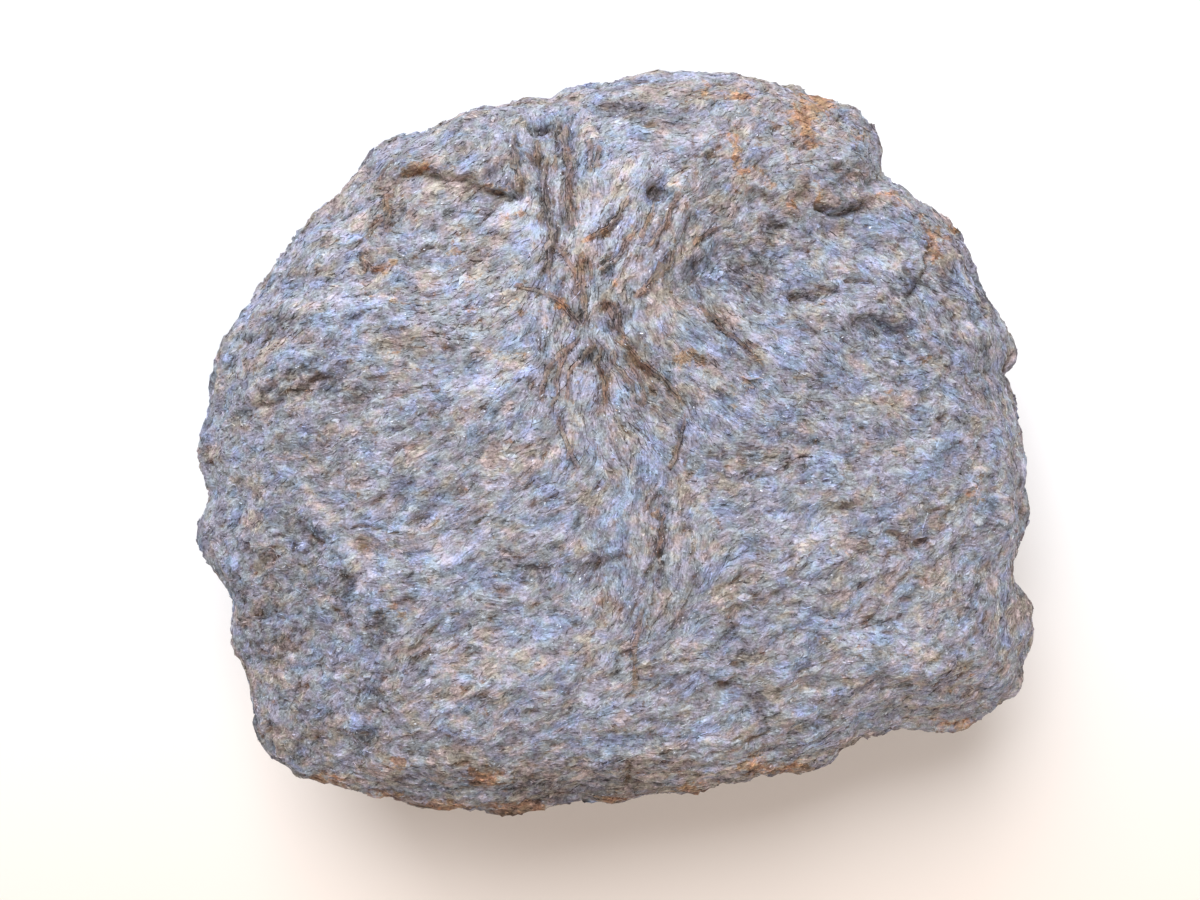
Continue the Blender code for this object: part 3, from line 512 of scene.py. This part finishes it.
def carveStone(piece):
    # moves the skin along its normals: plates, fibres, crumbs, broken edges, ribs and cracks
    mesh = piece.data
    points = readVectors(mesh.vertices, "co") / mm
    normals = readVectors(mesh.vertices, "normal")
    x, y = seenPlace(points)
    flatness = fade(np.abs(normals[:, 2]), *stone["level"])
    steepness = 1.0 - flatness
    upper = fade(normals[:, 2], *stone["upper"])
    angle = streakAngle(points, x, y)
    weights = turnWeights(angle, flatness)
    size, far = stone["wander"]
    wavy = points + far * np.column_stack([softNoise(points / size, seed)
                                           for seed in (131.0, 157.0, 193.0)])

    waves = streakNoise(wavy, weights, *stone["waves"][:2], 1.0)
    relief = stone["waves"][2] * waves * flatness
    for seed, (length, width, height) in enumerate(stone["plates"]):
        relief += height * lappedPlates(wavy, weights, length, width, 9.0 + 7.0 * seed)
    fibres = streakNoise(wavy, weights, *stone["fibres"][:2], 21.0)
    relief += stone["fibres"][2] * fibres
    slits = fade(-streakNoise(wavy, weights, *stone["slits"][:2], 33.0), *stone["slitEdges"])
    relief -= stone["slits"][2] * slits
    size, height = stone["crumbs"]
    least, start, end = stone["crumbly"]
    crumbly = least + (1.0 - least) * fade(x + 0.5 * np.abs(y), start, end)
    relief += height * crumbly * softNoise(points / size, 44.0)
    length, width, height = stone["edgeLayers"]
    swing, steps = stone["edgeSteps"]
    sharp = terraces(swing * streakNoise(wavy, weights * 0.0, length, width, 60.0), steps)
    relief += height * steepness * sharp
    relief += (stone["fuller"] + patches(marks["swells"], x, y)) * steepness

    strayX, strayY = strayAt(points)
    x, y = x + strayX, y + strayY
    middle, change, size, *limits = marks["broken"]
    broken = np.clip(middle + change * softNoise(points / size, 95.0), *limits) * upper
    for line, drop, reach in marks["ledges"]:
        signed, whole = lineDistance(line, x, y)
        step = np.tanh(signed / marks["lip"]) * np.exp(-np.abs(signed) / reach)
        relief += 0.5 * drop * broken * whole * step
    carved, veins, grooveShade = np.zeros((3, len(x)))
    for line, depth, halfWidth in marks["cracks"]:
        signed, whole = lineDistance(line, x, y)
        carved += depth * broken * whole * np.exp(-(signed / halfWidth) ** 2)
    course, spread, share = marks["grooves"]
    for line, height, halfWidth in marks["ribs"]:
        signed, whole = lineDistance(line, x, y)
        away = np.abs(signed) / halfWidth
        beside = np.exp(-((away - course) / spread) ** 2)
        relief += height * broken * whole * np.exp(-away ** 2)
        carved += share * height * broken * whole * beside
        veins = np.maximum(veins, upper * whole * (1.0 - fade(away, *marks["veins"])))
        # painted shade in the grooves beside each rib
        grooveShade = np.maximum(grooveShade, upper * broken * whole * beside)
    slim, ragged = marks["pitEdge"]
    for cx, cy, radius, depth in marks["pits"]:
        away = np.hypot(x - cx, slim * (y - cy)) / radius
        away += ragged * softNoise(points / radius, 107.0)
        carved += broken * depth * np.exp(-np.maximum(away, 0.0) ** 2)
    relief -= carved

    resting = (points[:, 2] < 0.8) & (normals[:, 2] < -0.9)
    points += normals * np.where(resting, 0.0, relief)[:, None]
    movePoints(mesh, points * mm)

    holes = np.clip(carved, 0.0, 1.0)
    # sunk is painted shade for the hollows: low between the fibres and waves, deepest in holes and
    # slits; the material darkens the skin by it and browns the deepest
    sunk = np.clip(0.4 - fibres - 0.6 * waves, 0.0, 1.0) + 1.4 * holes + 0.5 * slits
    # rust and brown are stains, dark is painted shade, and pale is lighter mica with painted sheen
    rust, brown, dark, pale = (patches(marks[kind], x, y) * upper
                               for kind in ("rust", "brown", "dark", "pale"))
    # the steep sides take brown stain and painted shade, and the grooves beside the ribs take
    # painted shade
    brown = brown + 0.5 * holes + stone["edgeStainAndShade"] * steepness
    dark = dark + stone["edgeStainAndShade"] * steepness + 0.7 * grooveShade
    saveAttribute(mesh, "turnsA", weights[:3].T)
    saveAttribute(mesh, "turnsB", weights[3:].T)
    saveAttribute(mesh, "stainsAndShade", np.column_stack((rust, brown, dark)))
    saveAttribute(mesh, "relief", np.column_stack((np.clip(sunk, 0.0, 1.5), pale, veins)))
    bpy.ops.object.shade_smooth()
    return angle, flatness


def thinSkin(piece):
    # fewer triangles, most of them kept where the skin is roughest
    piece.modifiers.new("fewer triangles", "DECIMATE").ratio = stone["kept"]
    applyModifiers(piece)
    movePoints(piece.data, readVectors(piece.data.vertices, "co"))


def countTriangles(piece):
    return sum(len(face.vertices) - 2 for face in piece.data.polygons)


# Loose mica on the stone: plates, scales and glints are closed shards with a flat face, and fibres
# and threads are thin slivers that bend with the skin. Half lengths and widths in millimetres

endDepth = 0.05  # how deep the ends of fibres, threads and strands sit in the skin
mica = {
    "plates": {"count": 9000, "seed": 11, "half": (0.42, 0.30), "slim": (0.25, 0.60), "turn": 22.0,
               "roll": 8.0, "pitch": 5.0, "lift": 0.02, "tone": (-0.5, 0.5)},
    "scales": {"count": 24000, "seed": 12, "half": (0.23, 0.35), "slim": (0.25, 0.65), "turn": 28.0,
               "roll": 12.0, "pitch": 8.0, "lift": 0.02, "tone": (-0.8, 0.8)},
    "glints": {"count": 9000, "seed": 13, "half": (0.11, 0.25), "slim": (0.25, 0.55), "turn": 30.0,
               "roll": 12.0, "pitch": 7.0, "lift": 0.02, "tone": (-0.5, 0.5)},
    "fibres": {"count": 15500, "seed": 14, "half": (0.62, 0.40), "width": (0.03, 0.07), "bow": 0.25,
               "turn": 22.0, "stations": (-1.0, -0.35, 0.35, 1.0), "tone": (-1.2, 0.6)},
    "threads": {"count": 15500, "seed": 15, "half": (0.40, 0.40), "width": (0.025, 0.05), "bow": 0.3,
                "turn": 34.0, "stations": (-1.0, -0.35, 0.35, 1.0), "tone": (0.1, 1.6)},
}

# brown strands: along the ribs, with the distance between their stations and between each other,
# and loose ones in some areas: x, y, reach along x, reach along y, how many
strands = {"seed": 16, "step": 0.45, "spacing": 0.16, "width": (0.045, 0.08), "stray": (0.16, 1.4),
           "begin": (0.0, 0.25), "end": (0.75, 1.0), "tone": (-2.0, 0.0), "vein": 1.3,
           "stations": (7, 20), "sway": 9.0, "slender": 0.6,
           "loose": [(-1.5, 6.5, 4.5, 3.5, 46), (-3, 14, 3, 3, 24), (-7, 25, 2.5, 4.5, 20),
                    (3, 21, 3, 4, 18), (-22, 22, 5, 4, 26), (18, 31, 7, 4, 30),
                    (31, 20, 2.5, 4, 18), (-14, 12, 8, 4, 24), (12, 6, 5, 3, 18),
                    (-24, 8, 8, 3, 18), (4, -12, 14, 9, 30), (0, -34, 24, 4, 60)]}


def scatterPlaces(look, piece, angle, flatness):
    # random places on the stone, with the way up and the way of the streaks at each
    mesh = piece.data
    mesh.calc_loop_triangles()
    corners = np.empty(len(mesh.loop_triangles) * 3, dtype=np.int32)
    mesh.loop_triangles.foreach_get("vertices", corners)
    corners = corners.reshape(-1, 3)
    points = readVectors(mesh.vertices, "co") / mm
    normals = readVectors(mesh.vertices, "normal")
    a, b, c = (points[corners[:, index]] for index in range(3))
    area = 0.5 * np.linalg.norm(np.cross(b - a, c - a), axis=1)
    # rather more on the upper side, and none where the stone rests
    wanted = np.where(normals[:, 2] > 0.0, 1.2, 0.8)
    wanted = np.where((points[:, 2] < 0.5) & (normals[:, 2] < -0.8), 0.0, wanted)
    chance = area * wanted[corners].mean(axis=1)

    draw = np.random.default_rng(look["seed"])
    chosen = draw.choice(len(corners), look["count"], p=chance / chance.sum())
    share = np.sort(draw.random((look["count"], 2)), axis=1)
    part = np.column_stack((share[:, 0], share[:, 1] - share[:, 0], 1.0 - share[:, 1]))

    def across(values):
        return (values[corners[chosen]] * part[..., None]).sum(axis=1)

    place = across(points)
    up = unit(across(normals))
    flat = across(flatness[:, None])
    doubled = across(np.column_stack((np.cos(2 * angle), np.sin(2 * angle))))
    turn = 0.5 * np.arctan2(doubled[:, 1], doubled[:, 0]) + np.radians(
        draw.normal(0.0, look["turn"], len(up)))
    streak = np.column_stack((np.cos(turn), np.sin(turn), np.zeros(len(turn))))
    level = unit(np.cross(up, np.array((0.0, 0.0, 1.0))))
    along = squareTo(unit(flat * streak + (1.0 - flat) * level), up)
    kept = {name: across(readVectors(mesh.attributes[name].data, "vector"))
            for name in ("turnsA", "turnsB", "stainsAndShade", "relief")}
    return draw, place, up, flat, along, kept


def meshFromArrays(name, vertices, faces, kept, own, each):
    # one mesh of many small bodies; what the skin knows at each place goes with them
    mesh = bpy.data.meshes.new(name)
    mesh.from_pydata((vertices * mm).tolist(), [], faces.tolist())
    for label, values in (*kept.items(), ("own", own)):
        saveAttribute(mesh, label, np.repeat(values, each, axis=0))
    piece = bpy.data.objects.new(name, mesh)
    bpy.context.scene.collection.objects.link(piece)
    return piece


def ownLuck(look, draw, count):
    # each body's own tone, tint and shine
    tone = draw.uniform(*look["tone"], count)
    return np.column_stack((tone, draw.uniform(-0.5, 0.5, (count, 2))))


def halfLengths(look, draw, count):
    middle, spread = look["half"]
    return middle * np.exp(draw.normal(0.0, spread, count))[:, None]


def equalBodies(name, look, draw, vertices, shape, kept):
    # from the corners of each body and the faces that all of them have; none goes into the floor
    count, each = vertices.shape[:2]
    vertices[..., 2] = np.maximum(vertices[..., 2], 0.02)
    faces = (shape[None] + each * np.arange(count)[:, None, None]).reshape(-1, 3)
    own = ownLuck(look, draw, count)
    return meshFromArrays(name, vertices.reshape(-1, 3), faces, kept, own, each)


def scatterShards(name, look, stonePiece, angle, flatness):
    draw, place, up, flat, along, kept = scatterPlaces(look, stonePiece, angle, flatness)
    count = len(up)
    # round the edge the shards keep to the level layers, so that their rims show
    layered = unit(up + (1.0 - flat) * np.array((0.0, 0.0, 0.35)) * np.sign(up[:, 2:3] + 0.1))
    layered = squareTo(layered, along)
    side = np.cross(layered, along)
    roll, pitch = (np.tan(np.radians(draw.normal(0.0, look[kind], count)))[:, None]
                   for kind in ("roll", "pitch"))
    side, top = unit(side + roll * layered), unit(layered - roll * side)
    along = unit(along + pitch * top)

    half = halfLengths(look, draw, count)
    slim = half * draw.uniform(*look["slim"], (count, 1))
    skew = draw.uniform(-0.5, 0.5, (count, 4, 1))
    lift = look["lift"] * draw.uniform(0.5, 1.6, (count, 1)) + 0.3 * slim * np.abs(roll)
    heart = place + up * lift
    vertices = np.stack((
        heart + along * half + side * slim * skew[:, 0],
        heart + along * half * skew[:, 1] + side * slim,
        heart - along * half + side * slim * skew[:, 2],
        heart + along * half * skew[:, 3] - side * slim,
        heart - up * (0.18 + 0.5 * slim),
    ), axis=1)
    shape = np.array(((0, 1, 2), (0, 2, 3), (1, 0, 4), (2, 1, 4), (3, 2, 4), (0, 3, 4)))
    return equalBodies(name, look, draw, vertices, shape, kept)


def skinTree(piece):
    return BVHTree.FromPolygons([vertex.co / mm for vertex in piece.data.vertices],
                                [tuple(face.vertices) for face in piece.data.polygons])


def hitPlaces(hits):
    # the places of the hits and the ways out of the skin there
    return (np.array([hit[index] for hit in hits]) for index in range(2))


def ringOf(heart, side, outward, width, sunk):
    return np.stack((heart - side * width - outward * sunk, heart + outward * width,
                     heart + side * width - outward * sunk), axis=1)


def sliverFaces(rings):
    # a closed sliver: one end, rings of three corners each, the other end
    last = 3 * rings + 1
    sides = ((0, 1), (1, 2), (2, 0))
    faces = [(0, 1 + a, 1 + b) for a, b in sides]
    faces += [(last, last - 3 + b, last - 3 + a) for a, b in sides]
    for ring in range(1, last - 3, 3):
        for a, b in sides:
            faces += [(ring + a, ring + 3 + a, ring + 3 + b), (ring + a, ring + 3 + b, ring + b)]
    return np.array(faces)


def layFibres(name, look, stonePiece, angle, flatness):
    draw, place, up, flat, along, kept = scatterPlaces(look, stonePiece, angle, flatness)
    side = np.cross(up, along)
    half = halfLengths(look, draw, len(up))
    width = draw.uniform(*look["width"], (len(up), 1))
    bow = draw.normal(0.0, look["bow"], (len(up), 1)) * half
    skin = skinTree(stonePiece)
    rings = []
    for station in look["stations"]:
        wanted = place + along * half * station + side * bow * (1.0 - station * station)
        heart, outward = hitPlaces([skin.find_nearest(Vector(point)) for point in wanted])
        if abs(station) == 1.0:
            rings.append((heart - outward * endDepth)[:, None])
        else:
            rings.append(ringOf(heart, side, outward, width, 0.02))
    shape = sliverFaces(len(rings) - 2)
    return equalBodies(name, look, draw, np.concatenate(rings, axis=1), shape, kept)


def strandCourse(line, offset, look, draw):
    # stations along a line of the marks, some way to its side, on the plane of the marks
    line = np.array(line)
    way = np.concatenate(([0.0], np.cumsum(np.hypot(*np.diff(line, axis=0).T))))
    begin, end = draw.uniform(*look["begin"]) * way[-1], draw.uniform(*look["end"]) * way[-1]
    places = np.linspace(begin, end, max(4, round((end - begin) / look["step"])))
    x, y = np.interp(places, way, line[:, 0]), np.interp(places, way, line[:, 1])
    dx, dy = np.gradient(x), np.gradient(y)
    length = np.hypot(dx, dy)
    far, size = look["stray"]
    shift = offset + far * softNoise(np.column_stack((places / size, 0 * places, 0 * places)),
                                     draw.uniform(0.0, 90.0))
    return x - shift * dy / length, y + shift * dx / length


def looseCourse(area, look, draw):
    # stations that follow the streaks from a random place in an area
    x, y = draw.normal(area[0], area[2]), draw.normal(area[1], area[3])
    angle = angleAt(x, y)
    course = []
    for station in range(draw.integers(*look["stations"])):
        course.append((x, y))
        x, y = x + look["step"] * math.cos(angle), y + look["step"] * math.sin(angle)
        angle += 0.5 * math.remainder(angleAt(x, y) - angle, math.pi)
        angle += math.radians(draw.normal(0.0, look["sway"]))
    return np.array(course).T


def layStrands(name, look, stonePiece):
    # closed slivers, found on the skin by looking down from the camera's place
    draw = np.random.default_rng(look["seed"])
    skin = skinTree(stonePiece)
    start = Vector(eye)

    def onSkin(x, y):
        return skin.ray_cast(start, Vector((x, y, marks["plane"])) - start)

    courses = []
    for line, height, halfWidth in marks["ribs"]:
        count = max(2, round(2 * halfWidth / look["spacing"]))
        for offset in np.linspace(-halfWidth, halfWidth, count):
            courses.append((strandCourse(line, offset, look, draw), 1.0))
    for *area, count in look["loose"]:
        courses += [(looseCourse(area, look, draw), look["slender"]) for turn in range(count)]

    vertices, faces, under, own = [], [], [], []
    for course, slender in courses:
        hits = []
        for x, y in zip(*course):
            place = onSkin(x, y)[0]
            if place is not None:
                strayX, strayY = strayAt(np.array([place]))
                hits.append(onSkin(x - strayX[0], y - strayY[0]))
        if len(hits) < 4 or any(hit[0] is None or hit[1].z < 0.3 for hit in hits):
            continue
        heart, outward = hitPlaces(hits)
        side = unit(np.cross(outward, np.gradient(heart, axis=0)))
        width = slender * draw.uniform(*look["width"])
        rings = ringOf(heart, side, outward, width, 0.03)[1:-1].reshape(-1, 3)
        ends = heart - outward * endDepth
        faces.append(sliverFaces(len(rings) // 3) + len(vertices))
        vertices += [ends[0], *rings, ends[-1]]
        near = [hit[2] for hit in hits]
        under += [near[0], *np.repeat(near[1:-1], 3), near[-1]]
        own += [ownLuck(look, draw, 1)[0]] * (len(rings) + 2)
    mesh = stonePiece.data
    corners = np.array([face.vertices[0] for face in mesh.polygons])[np.array(under)]
    kept = {label: readVectors(mesh.attributes[label].data, "vector")[corners]
            for label in ("turnsA", "turnsB", "stainsAndShade")}
    kept["relief"] = np.tile((0.0, 0.0, look["vein"]), (len(under), 1))
    faces = np.concatenate(faces)
    print("strand corners:", len(under), "faces:", len(faces))
    return meshFromArrays(name, np.array(vertices), faces, kept, np.array(own), 1)


# Materials: colours as the eye sees them, turned to linear values where they are used

finish = {
    "black": (56, 52, 54),
    "dark": (98, 94, 97),
    "middle": (150, 148, 152),
    "light": (208, 208, 215),
    "white": (240, 241, 247),
    "silver": (212, 216, 230),
    # these multiply the grey below them, so they are plain factors
    "blueTint": (0.81, 0.97, 1.30, 1.0),
    "plainTint": (0.95, 0.98, 1.08, 1.0),
    "tanTint": (1.14, 0.98, 0.85, 1.0),
    "pinkTint": (1.04, 0.97, 1.03, 1.0),
    "greenTint": (0.97, 1.03, 0.96, 1.0),
    "brownTint": (0.76, 0.58, 0.45, 1.0),
    "rustTint": (1.24, 0.84, 0.54, 1.0),
    # where each grey stands between the darkest and the lightest tone
    "stops": {"black": 0.20, "dark": 0.34, "middle": 0.50, "light": 0.68, "white": 0.86},
    # the streaks in three sizes: length, width, detail, wander, seed
    "fine": (1.1, 0.21, 5.0, 0.9, 2.0),
    "wide": (4.2, 1.5, 3.0, 2.2, 9.0),
    "hue": (6.0, 2.5, 3.0, 2.4, 27.0),
    # how much fine and wide streaks, grit and the painted shade of the hollows change the tone
    "patterns": {"fine": 0.55, "grit": 0.34, "wide": 0.54, "sunk": -0.07},
}


def linear(name):
    return [((value / 255 + 0.055) / 1.055) ** 2.4 for value in finish[name]] + [1.0]


class Nodes:
    # a short way to add and join the nodes of one tree
    def __init__(self, tree):
        self.tree = tree

    def add(self, kind, inputs=None, **settings):
        node = self.tree.nodes.new(kind if kind.startswith("NodeGroup") else "ShaderNode" + kind)
        for key, value in settings.items():
            setattr(node, key, value)
        return self.fill(node, inputs or {})

    def fill(self, node, inputs):
        for key, value in inputs.items():
            if isinstance(value, bpy.types.NodeSocket):
                self.tree.links.new(value, node.inputs[key])
            else:
                node.inputs[key].default_value = value
        return node

    def math(self, operation, *values):
        return self.add("Math", dict(enumerate(values)), operation=operation).outputs[0]

    def vector(self, operation, first, second):
        inputs = {0: first, 1: second}
        return self.add("VectorMath", inputs, operation=operation).outputs[0]

    def more(self, base, value, amount):
        return self.math("MULTIPLY_ADD", value, amount, base)

    def plus(self, base, value, amount):
        # adds how far a pattern is from its middle, times an amount
        return self.more(base, self.math("SUBTRACT", value, 0.5), amount)

    def span(self, value, low, high, start=0.0, end=1.0):
        inputs = {"Value": value, "From Min": low, "From Max": high, "To Min": start, "To Max": end}
        return self.add("MapRange", inputs, interpolation_type="SMOOTHSTEP").outputs[0]

    def mix(self, factor, first, second, blend="MIX"):
        inputs = {0: factor, 6: first, 7: second}
        return self.add("Mix", inputs, data_type="RGBA", blend_type=blend).outputs[2]

    def times(self, factor, first, second):
        return self.mix(factor, first, second, "MULTIPLY")

    def millimetres(self):
        place = self.add("TexCoord").outputs["Object"]
        return self.vector("MULTIPLY", place, (1000.0, 1000.0, 1000.0))

    def blotches(self, place, size, detail=2.0):
        inputs = {"Vector": place, "Scale": 1.0 / size, "Detail": detail, "Roughness": 0.6}
        return self.add("TexNoise", inputs).outputs[0]

    def parts(self, attribute):
        value = self.add("Attribute", attribute_name=attribute).outputs["Vector"]
        return self.add("SeparateXYZ", {0: value}).outputs


def newGroup(name, inputs, outputs):
    tree = bpy.data.node_groups.new(name, "ShaderNodeTree")
    for label, value in inputs.items():
        socket = tree.interface.new_socket(label, in_out="INPUT", socket_type="NodeSocketFloat")
        socket.default_value = value
    for label in outputs:
        tree.interface.new_socket(label, in_out="OUTPUT", socket_type="NodeSocketFloat")
    nodes = Nodes(tree)
    return tree, nodes, nodes.add("NodeGroupInput").outputs


def streakGroup():
    # a value between 0 and 1, drawn out along the streaks that the skin's attributes give
    inputs = {"Length": 3.0, "Width": 0.4, "Detail": 3.0, "Wander": 0.6, "Seed": 0.0}
    tree, nodes, given = newGroup("mica streaks", inputs, ["Value"])
    place = nodes.millimetres()
    swirl = nodes.add("TexNoise", {"Vector": place, "Scale": 0.45, "Detail": 1.0})
    swirl = nodes.vector("SUBTRACT", swirl.outputs[1], (0.5, 0.5, 0.5))
    swirl = nodes.vector("MULTIPLY", swirl, given["Wander"])
    place = nodes.vector("ADD", place, swirl)
    longWay = nodes.math("DIVIDE", 1.0, given["Length"])
    narrow = nodes.math("DIVIDE", 1.0, given["Width"])
    drawnWay = nodes.add("CombineXYZ", {0: longWay, 1: narrow, 2: narrow}).outputs[0]
    layered = nodes.add("CombineXYZ", {0: longWay, 1: longWay, 2: narrow}).outputs[0]

    def pattern(where, seed):
        settings = {"Vector": nodes.vector("ADD", where, seed), "Scale": 1.0,
                    "Detail": given["Detail"], "Roughness": 0.62}
        return nodes.add("TexNoise", settings).outputs[0]

    total = 0.0
    rest = 1.0
    for turn, weight in enumerate([*nodes.parts("turnsA"), *nodes.parts("turnsB")]):
        angle = math.pi * turn / stone["turns"]
        turned = nodes.add("VectorRotate", {"Vector": place, "Angle": -angle},
                           rotation_type="Z_AXIS").outputs[0]
        drawn = nodes.vector("MULTIPLY", turned, drawnWay)
        moved = nodes.vector("ADD", drawn, (7.1 * turn, 0.0, 0.0))
        value = pattern(moved, nodes.math("ADD", given["Seed"], 3.7 * turn))
        total = nodes.more(total, value, weight)
        rest = nodes.math("SUBTRACT", rest, weight)
    value = pattern(nodes.vector("MULTIPLY", place, layered), given["Seed"])
    nodes.add("NodeGroupOutput", {"Value": nodes.more(total, value, rest)})
    return tree


def stainAndShadeGroup():
    # where rust and brown have soaked in, and the darker patches of painted shade, ragged at their
    # edges
    tree, nodes, given = newGroup("iron stains", {"Amount": 1.0}, ["Rust", "Lean", "PaintedShade"])
    place = nodes.millimetres()
    rust, brown, dark = nodes.parts("stainsAndShade")
    ragged = nodes.blotches(place, 0.9, 4.0)
    broad = nodes.blotches(place, 3.0, 3.0)
    rustHere = nodes.span(nodes.more(ragged, rust, 0.34), 0.60, 0.78)
    paintedShadeHere = nodes.span(nodes.more(ragged, dark, 0.26), 0.54, 0.80)
    nodes.add("NodeGroupOutput", {"Rust": nodes.math("MULTIPLY", rustHere, given["Amount"]),
                                  "Lean": nodes.more(broad, brown, 0.14), "PaintedShade": paintedShadeHere})
    return tree


def newMaterial(name):
    material = bpy.data.materials.new(name)
    material.use_nodes = True
    nodes = Nodes(material.node_tree)
    shader = material.node_tree.nodes["Principled BSDF"]
    return material, nodes, shader


def groupNode(nodes, tree, inputs=None):
    return nodes.add("Group", inputs, node_tree=tree).outputs


def schistMaterial(streaks, stainsAndShade):
    material, nodes, shader = newMaterial("mica schist")
    place = nodes.millimetres()
    labels = ("Length", "Width", "Detail", "Wander", "Seed")
    fine, wide, hue = (groupNode(nodes, streaks, dict(zip(labels, finish[size])))["Value"]
                       for size in ("fine", "wide", "hue"))
    grit = nodes.blotches(place, 0.24, 3.0)
    stainAndShade = groupNode(nodes, stainsAndShade)
    sunk, pale, vein = nodes.parts("relief")
    ownTone, ownHue, ownShine = nodes.parts("own")

    # how light: streaks, grit, painted shade in the hollows, brighter patches of lighter mica and
    # painted sheen, and darker patches of painted shade
    tone = 0.5
    for value, amount in zip((fine, grit, wide, sunk), finish["patterns"].values()):
        tone = nodes.plus(tone, value, amount)
    for value, amount in ((pale, 0.10), (stainAndShade["PaintedShade"], -0.14), (ownTone, 0.16)):
        tone = nodes.more(tone, value, amount)
    ramp = nodes.add("ValToRGB", {"Fac": tone})
    stops = ramp.color_ramp.elements
    while len(stops) > 1:
        stops.remove(stops[0])
    for index, (name, position) in enumerate(finish["stops"].items()):
        stop = stops.new(position) if index else stops[0]
        stop.position, stop.color = position, linear(name)

    # what tint: bluish mica against tan mica, browner in the stained patches
    lean = nodes.more(nodes.plus(stainAndShade["Lean"], hue, 1.4), ownHue, 0.05)
    tint = nodes.mix(nodes.span(lean, 0.25, 0.49), finish["blueTint"], finish["plainTint"])
    tint = nodes.mix(nodes.span(lean, 0.49, 0.75), tint, finish["tanTint"])
    colour = nodes.times(1.0, ramp.outputs[0], tint)
    patch = nodes.span(nodes.blotches(place, 1.3), 0.38, 0.62)
    colour = nodes.times(1.0, colour, nodes.mix(patch, finish["greenTint"], finish["pinkTint"]))
    # brown along the ribs, and in the deepest hollows, where it is partly staining and partly
    # painted shade
    soaked = nodes.span(nodes.plus(nodes.plus(vein, fine, 2.0), grit, 0.8), 0.25, 0.85)
    soaked = nodes.math("MAXIMUM", soaked, nodes.span(sunk, 0.70, 1.4))
    colour = nodes.times(soaked, colour, finish["brownTint"])
    colour = nodes.times(stainAndShade["Rust"], colour, finish["rustTint"])
    rough = nodes.more(nodes.span(fine, 0.35, 0.65, 0.60, 0.42), ownShine, 0.16)
    height = nodes.more(fine, grit, 0.6)
    bump = nodes.add("Bump", {"Height": height, "Strength": 0.8, "Distance": 0.00020})
    nodes.fill(shader, {"Base Color": colour, "Roughness": rough, "Normal": bump.outputs[0]})
    return material


def glintMaterial(stainsAndShade):
    material, nodes, shader = newMaterial("silver mica")
    stainAndShade = groupNode(nodes, stainsAndShade)
    ownTone, ownHue, ownShine = nodes.parts("own")
    colour = nodes.mix(nodes.span(ownTone, -0.5, 0.5), linear("light"), linear("silver"))
    colour = nodes.mix(nodes.span(stainAndShade["Lean"], 0.45, 0.70, 0.0, 0.7), colour, linear("middle"))
    colour = nodes.times(stainAndShade["Rust"], colour, finish["rustTint"])
    rough = nodes.more(0.34, ownShine, 0.18)
    nodes.fill(shader, {"Base Color": colour, "Roughness": rough, "Metallic": 0.2})
    return material


# The surroundings: a pale floor, cool light from behind the stone and a camera straight above it

studio = {
    "lens": 35.94,
    "floor": 1500.0,
    "window": {"place": (-130.0, 420.0, 480.0), "size": 480.0, "power": 5.4,
               "colour": (0.93, 0.96, 1.0)},
    "fill": {"place": (260.0, -320.0, 420.0), "size": 500.0, "power": 1.3,
             "colour": (1.0, 0.84, 0.68)},
    "air": (0.95, 0.96, 1.0),
    "airPower": 0.30,
}


def areaLight(name, settings):
    light = bpy.data.lights.new(name, "AREA")
    light.shape = "SQUARE"
    light.size = settings["size"] * mm
    light.energy = settings["power"]
    light.color = settings["colour"]
    lamp = bpy.data.objects.new(name, light)
    lamp.location = Vector(settings["place"]) * mm
    lamp.rotation_euler = lamp.location.to_track_quat("Z", "Y").to_euler()
    bpy.context.scene.collection.objects.link(lamp)


def makeStudio():
    deselectAll()
    bpy.ops.mesh.primitive_plane_add(size=2 * studio["floor"] * mm, location=(0.0, 0.0, -0.0001))
    floor = bpy.context.view_layer.objects.active
    floor.name = "floor"
    material, nodes, shader = newMaterial("pale floor")
    y = nodes.add("SeparateXYZ", {0: nodes.millimetres()}).outputs[1]
    # the floor is painted warmer and darker towards the near side: painted warm shade
    warmShade = nodes.span(y, -90.0, 10.0, 1.0, 0.0)
    colour = nodes.mix(warmShade, (0.93, 0.93, 0.94, 1.0), (0.97, 0.84, 0.74, 1.0))
    nodes.fill(shader, {"Base Color": colour, "Roughness": 0.9})
    floor.data.materials.append(material)

    areaLight("window", studio["window"])
    areaLight("fill", studio["fill"])
    world = bpy.data.worlds.new("room")
    world.use_nodes = True
    background = world.node_tree.nodes["Background"]
    background.inputs["Color"].default_value = (*studio["air"], 1.0)
    background.inputs["Strength"].default_value = studio["airPower"]
    bpy.context.scene.world = world

    camera = bpy.data.cameras.new("camera")
    camera.lens = studio["lens"]
    camera.sensor_width = 36.0
    camera.clip_start = 0.005
    view = bpy.data.objects.new("camera", camera)
    view.location = Vector(eye) * mm
    bpy.context.scene.collection.objects.link(view)
    bpy.context.scene.camera = view
    bpy.context.scene.view_settings.view_transform = "Standard"


# Making

schist = copyOfNode("mica_schist", "schist_stone")
fineSkin(schist)
streakAngles, flatnesses = carveStone(schist)
print("stone carved:", countTriangles(schist), "triangles")

loosePieces = [layStrands("mica_strands", strands, schist)]
for kind, look in mica.items():
    make = layFibres if "stations" in look else scatterShards
    loosePieces.append(make("mica_" + kind, look, schist, streakAngles, flatnesses))
thinSkin(schist)

streaks = streakGroup()
stainsAndShade = stainAndShadeGroup()
schistLook = schistMaterial(streaks, stainsAndShade)
glintLook = glintMaterial(stainsAndShade)
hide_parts("mica_schist")
for piece in [schist] + loosePieces:
    piece.data.materials.append(glintLook if piece.name == "mica_glints" else schistLook)
    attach(piece, "root")
    print(piece.name + ":", countTriangles(piece), "triangles")

makeStudio()
print("studio ready")
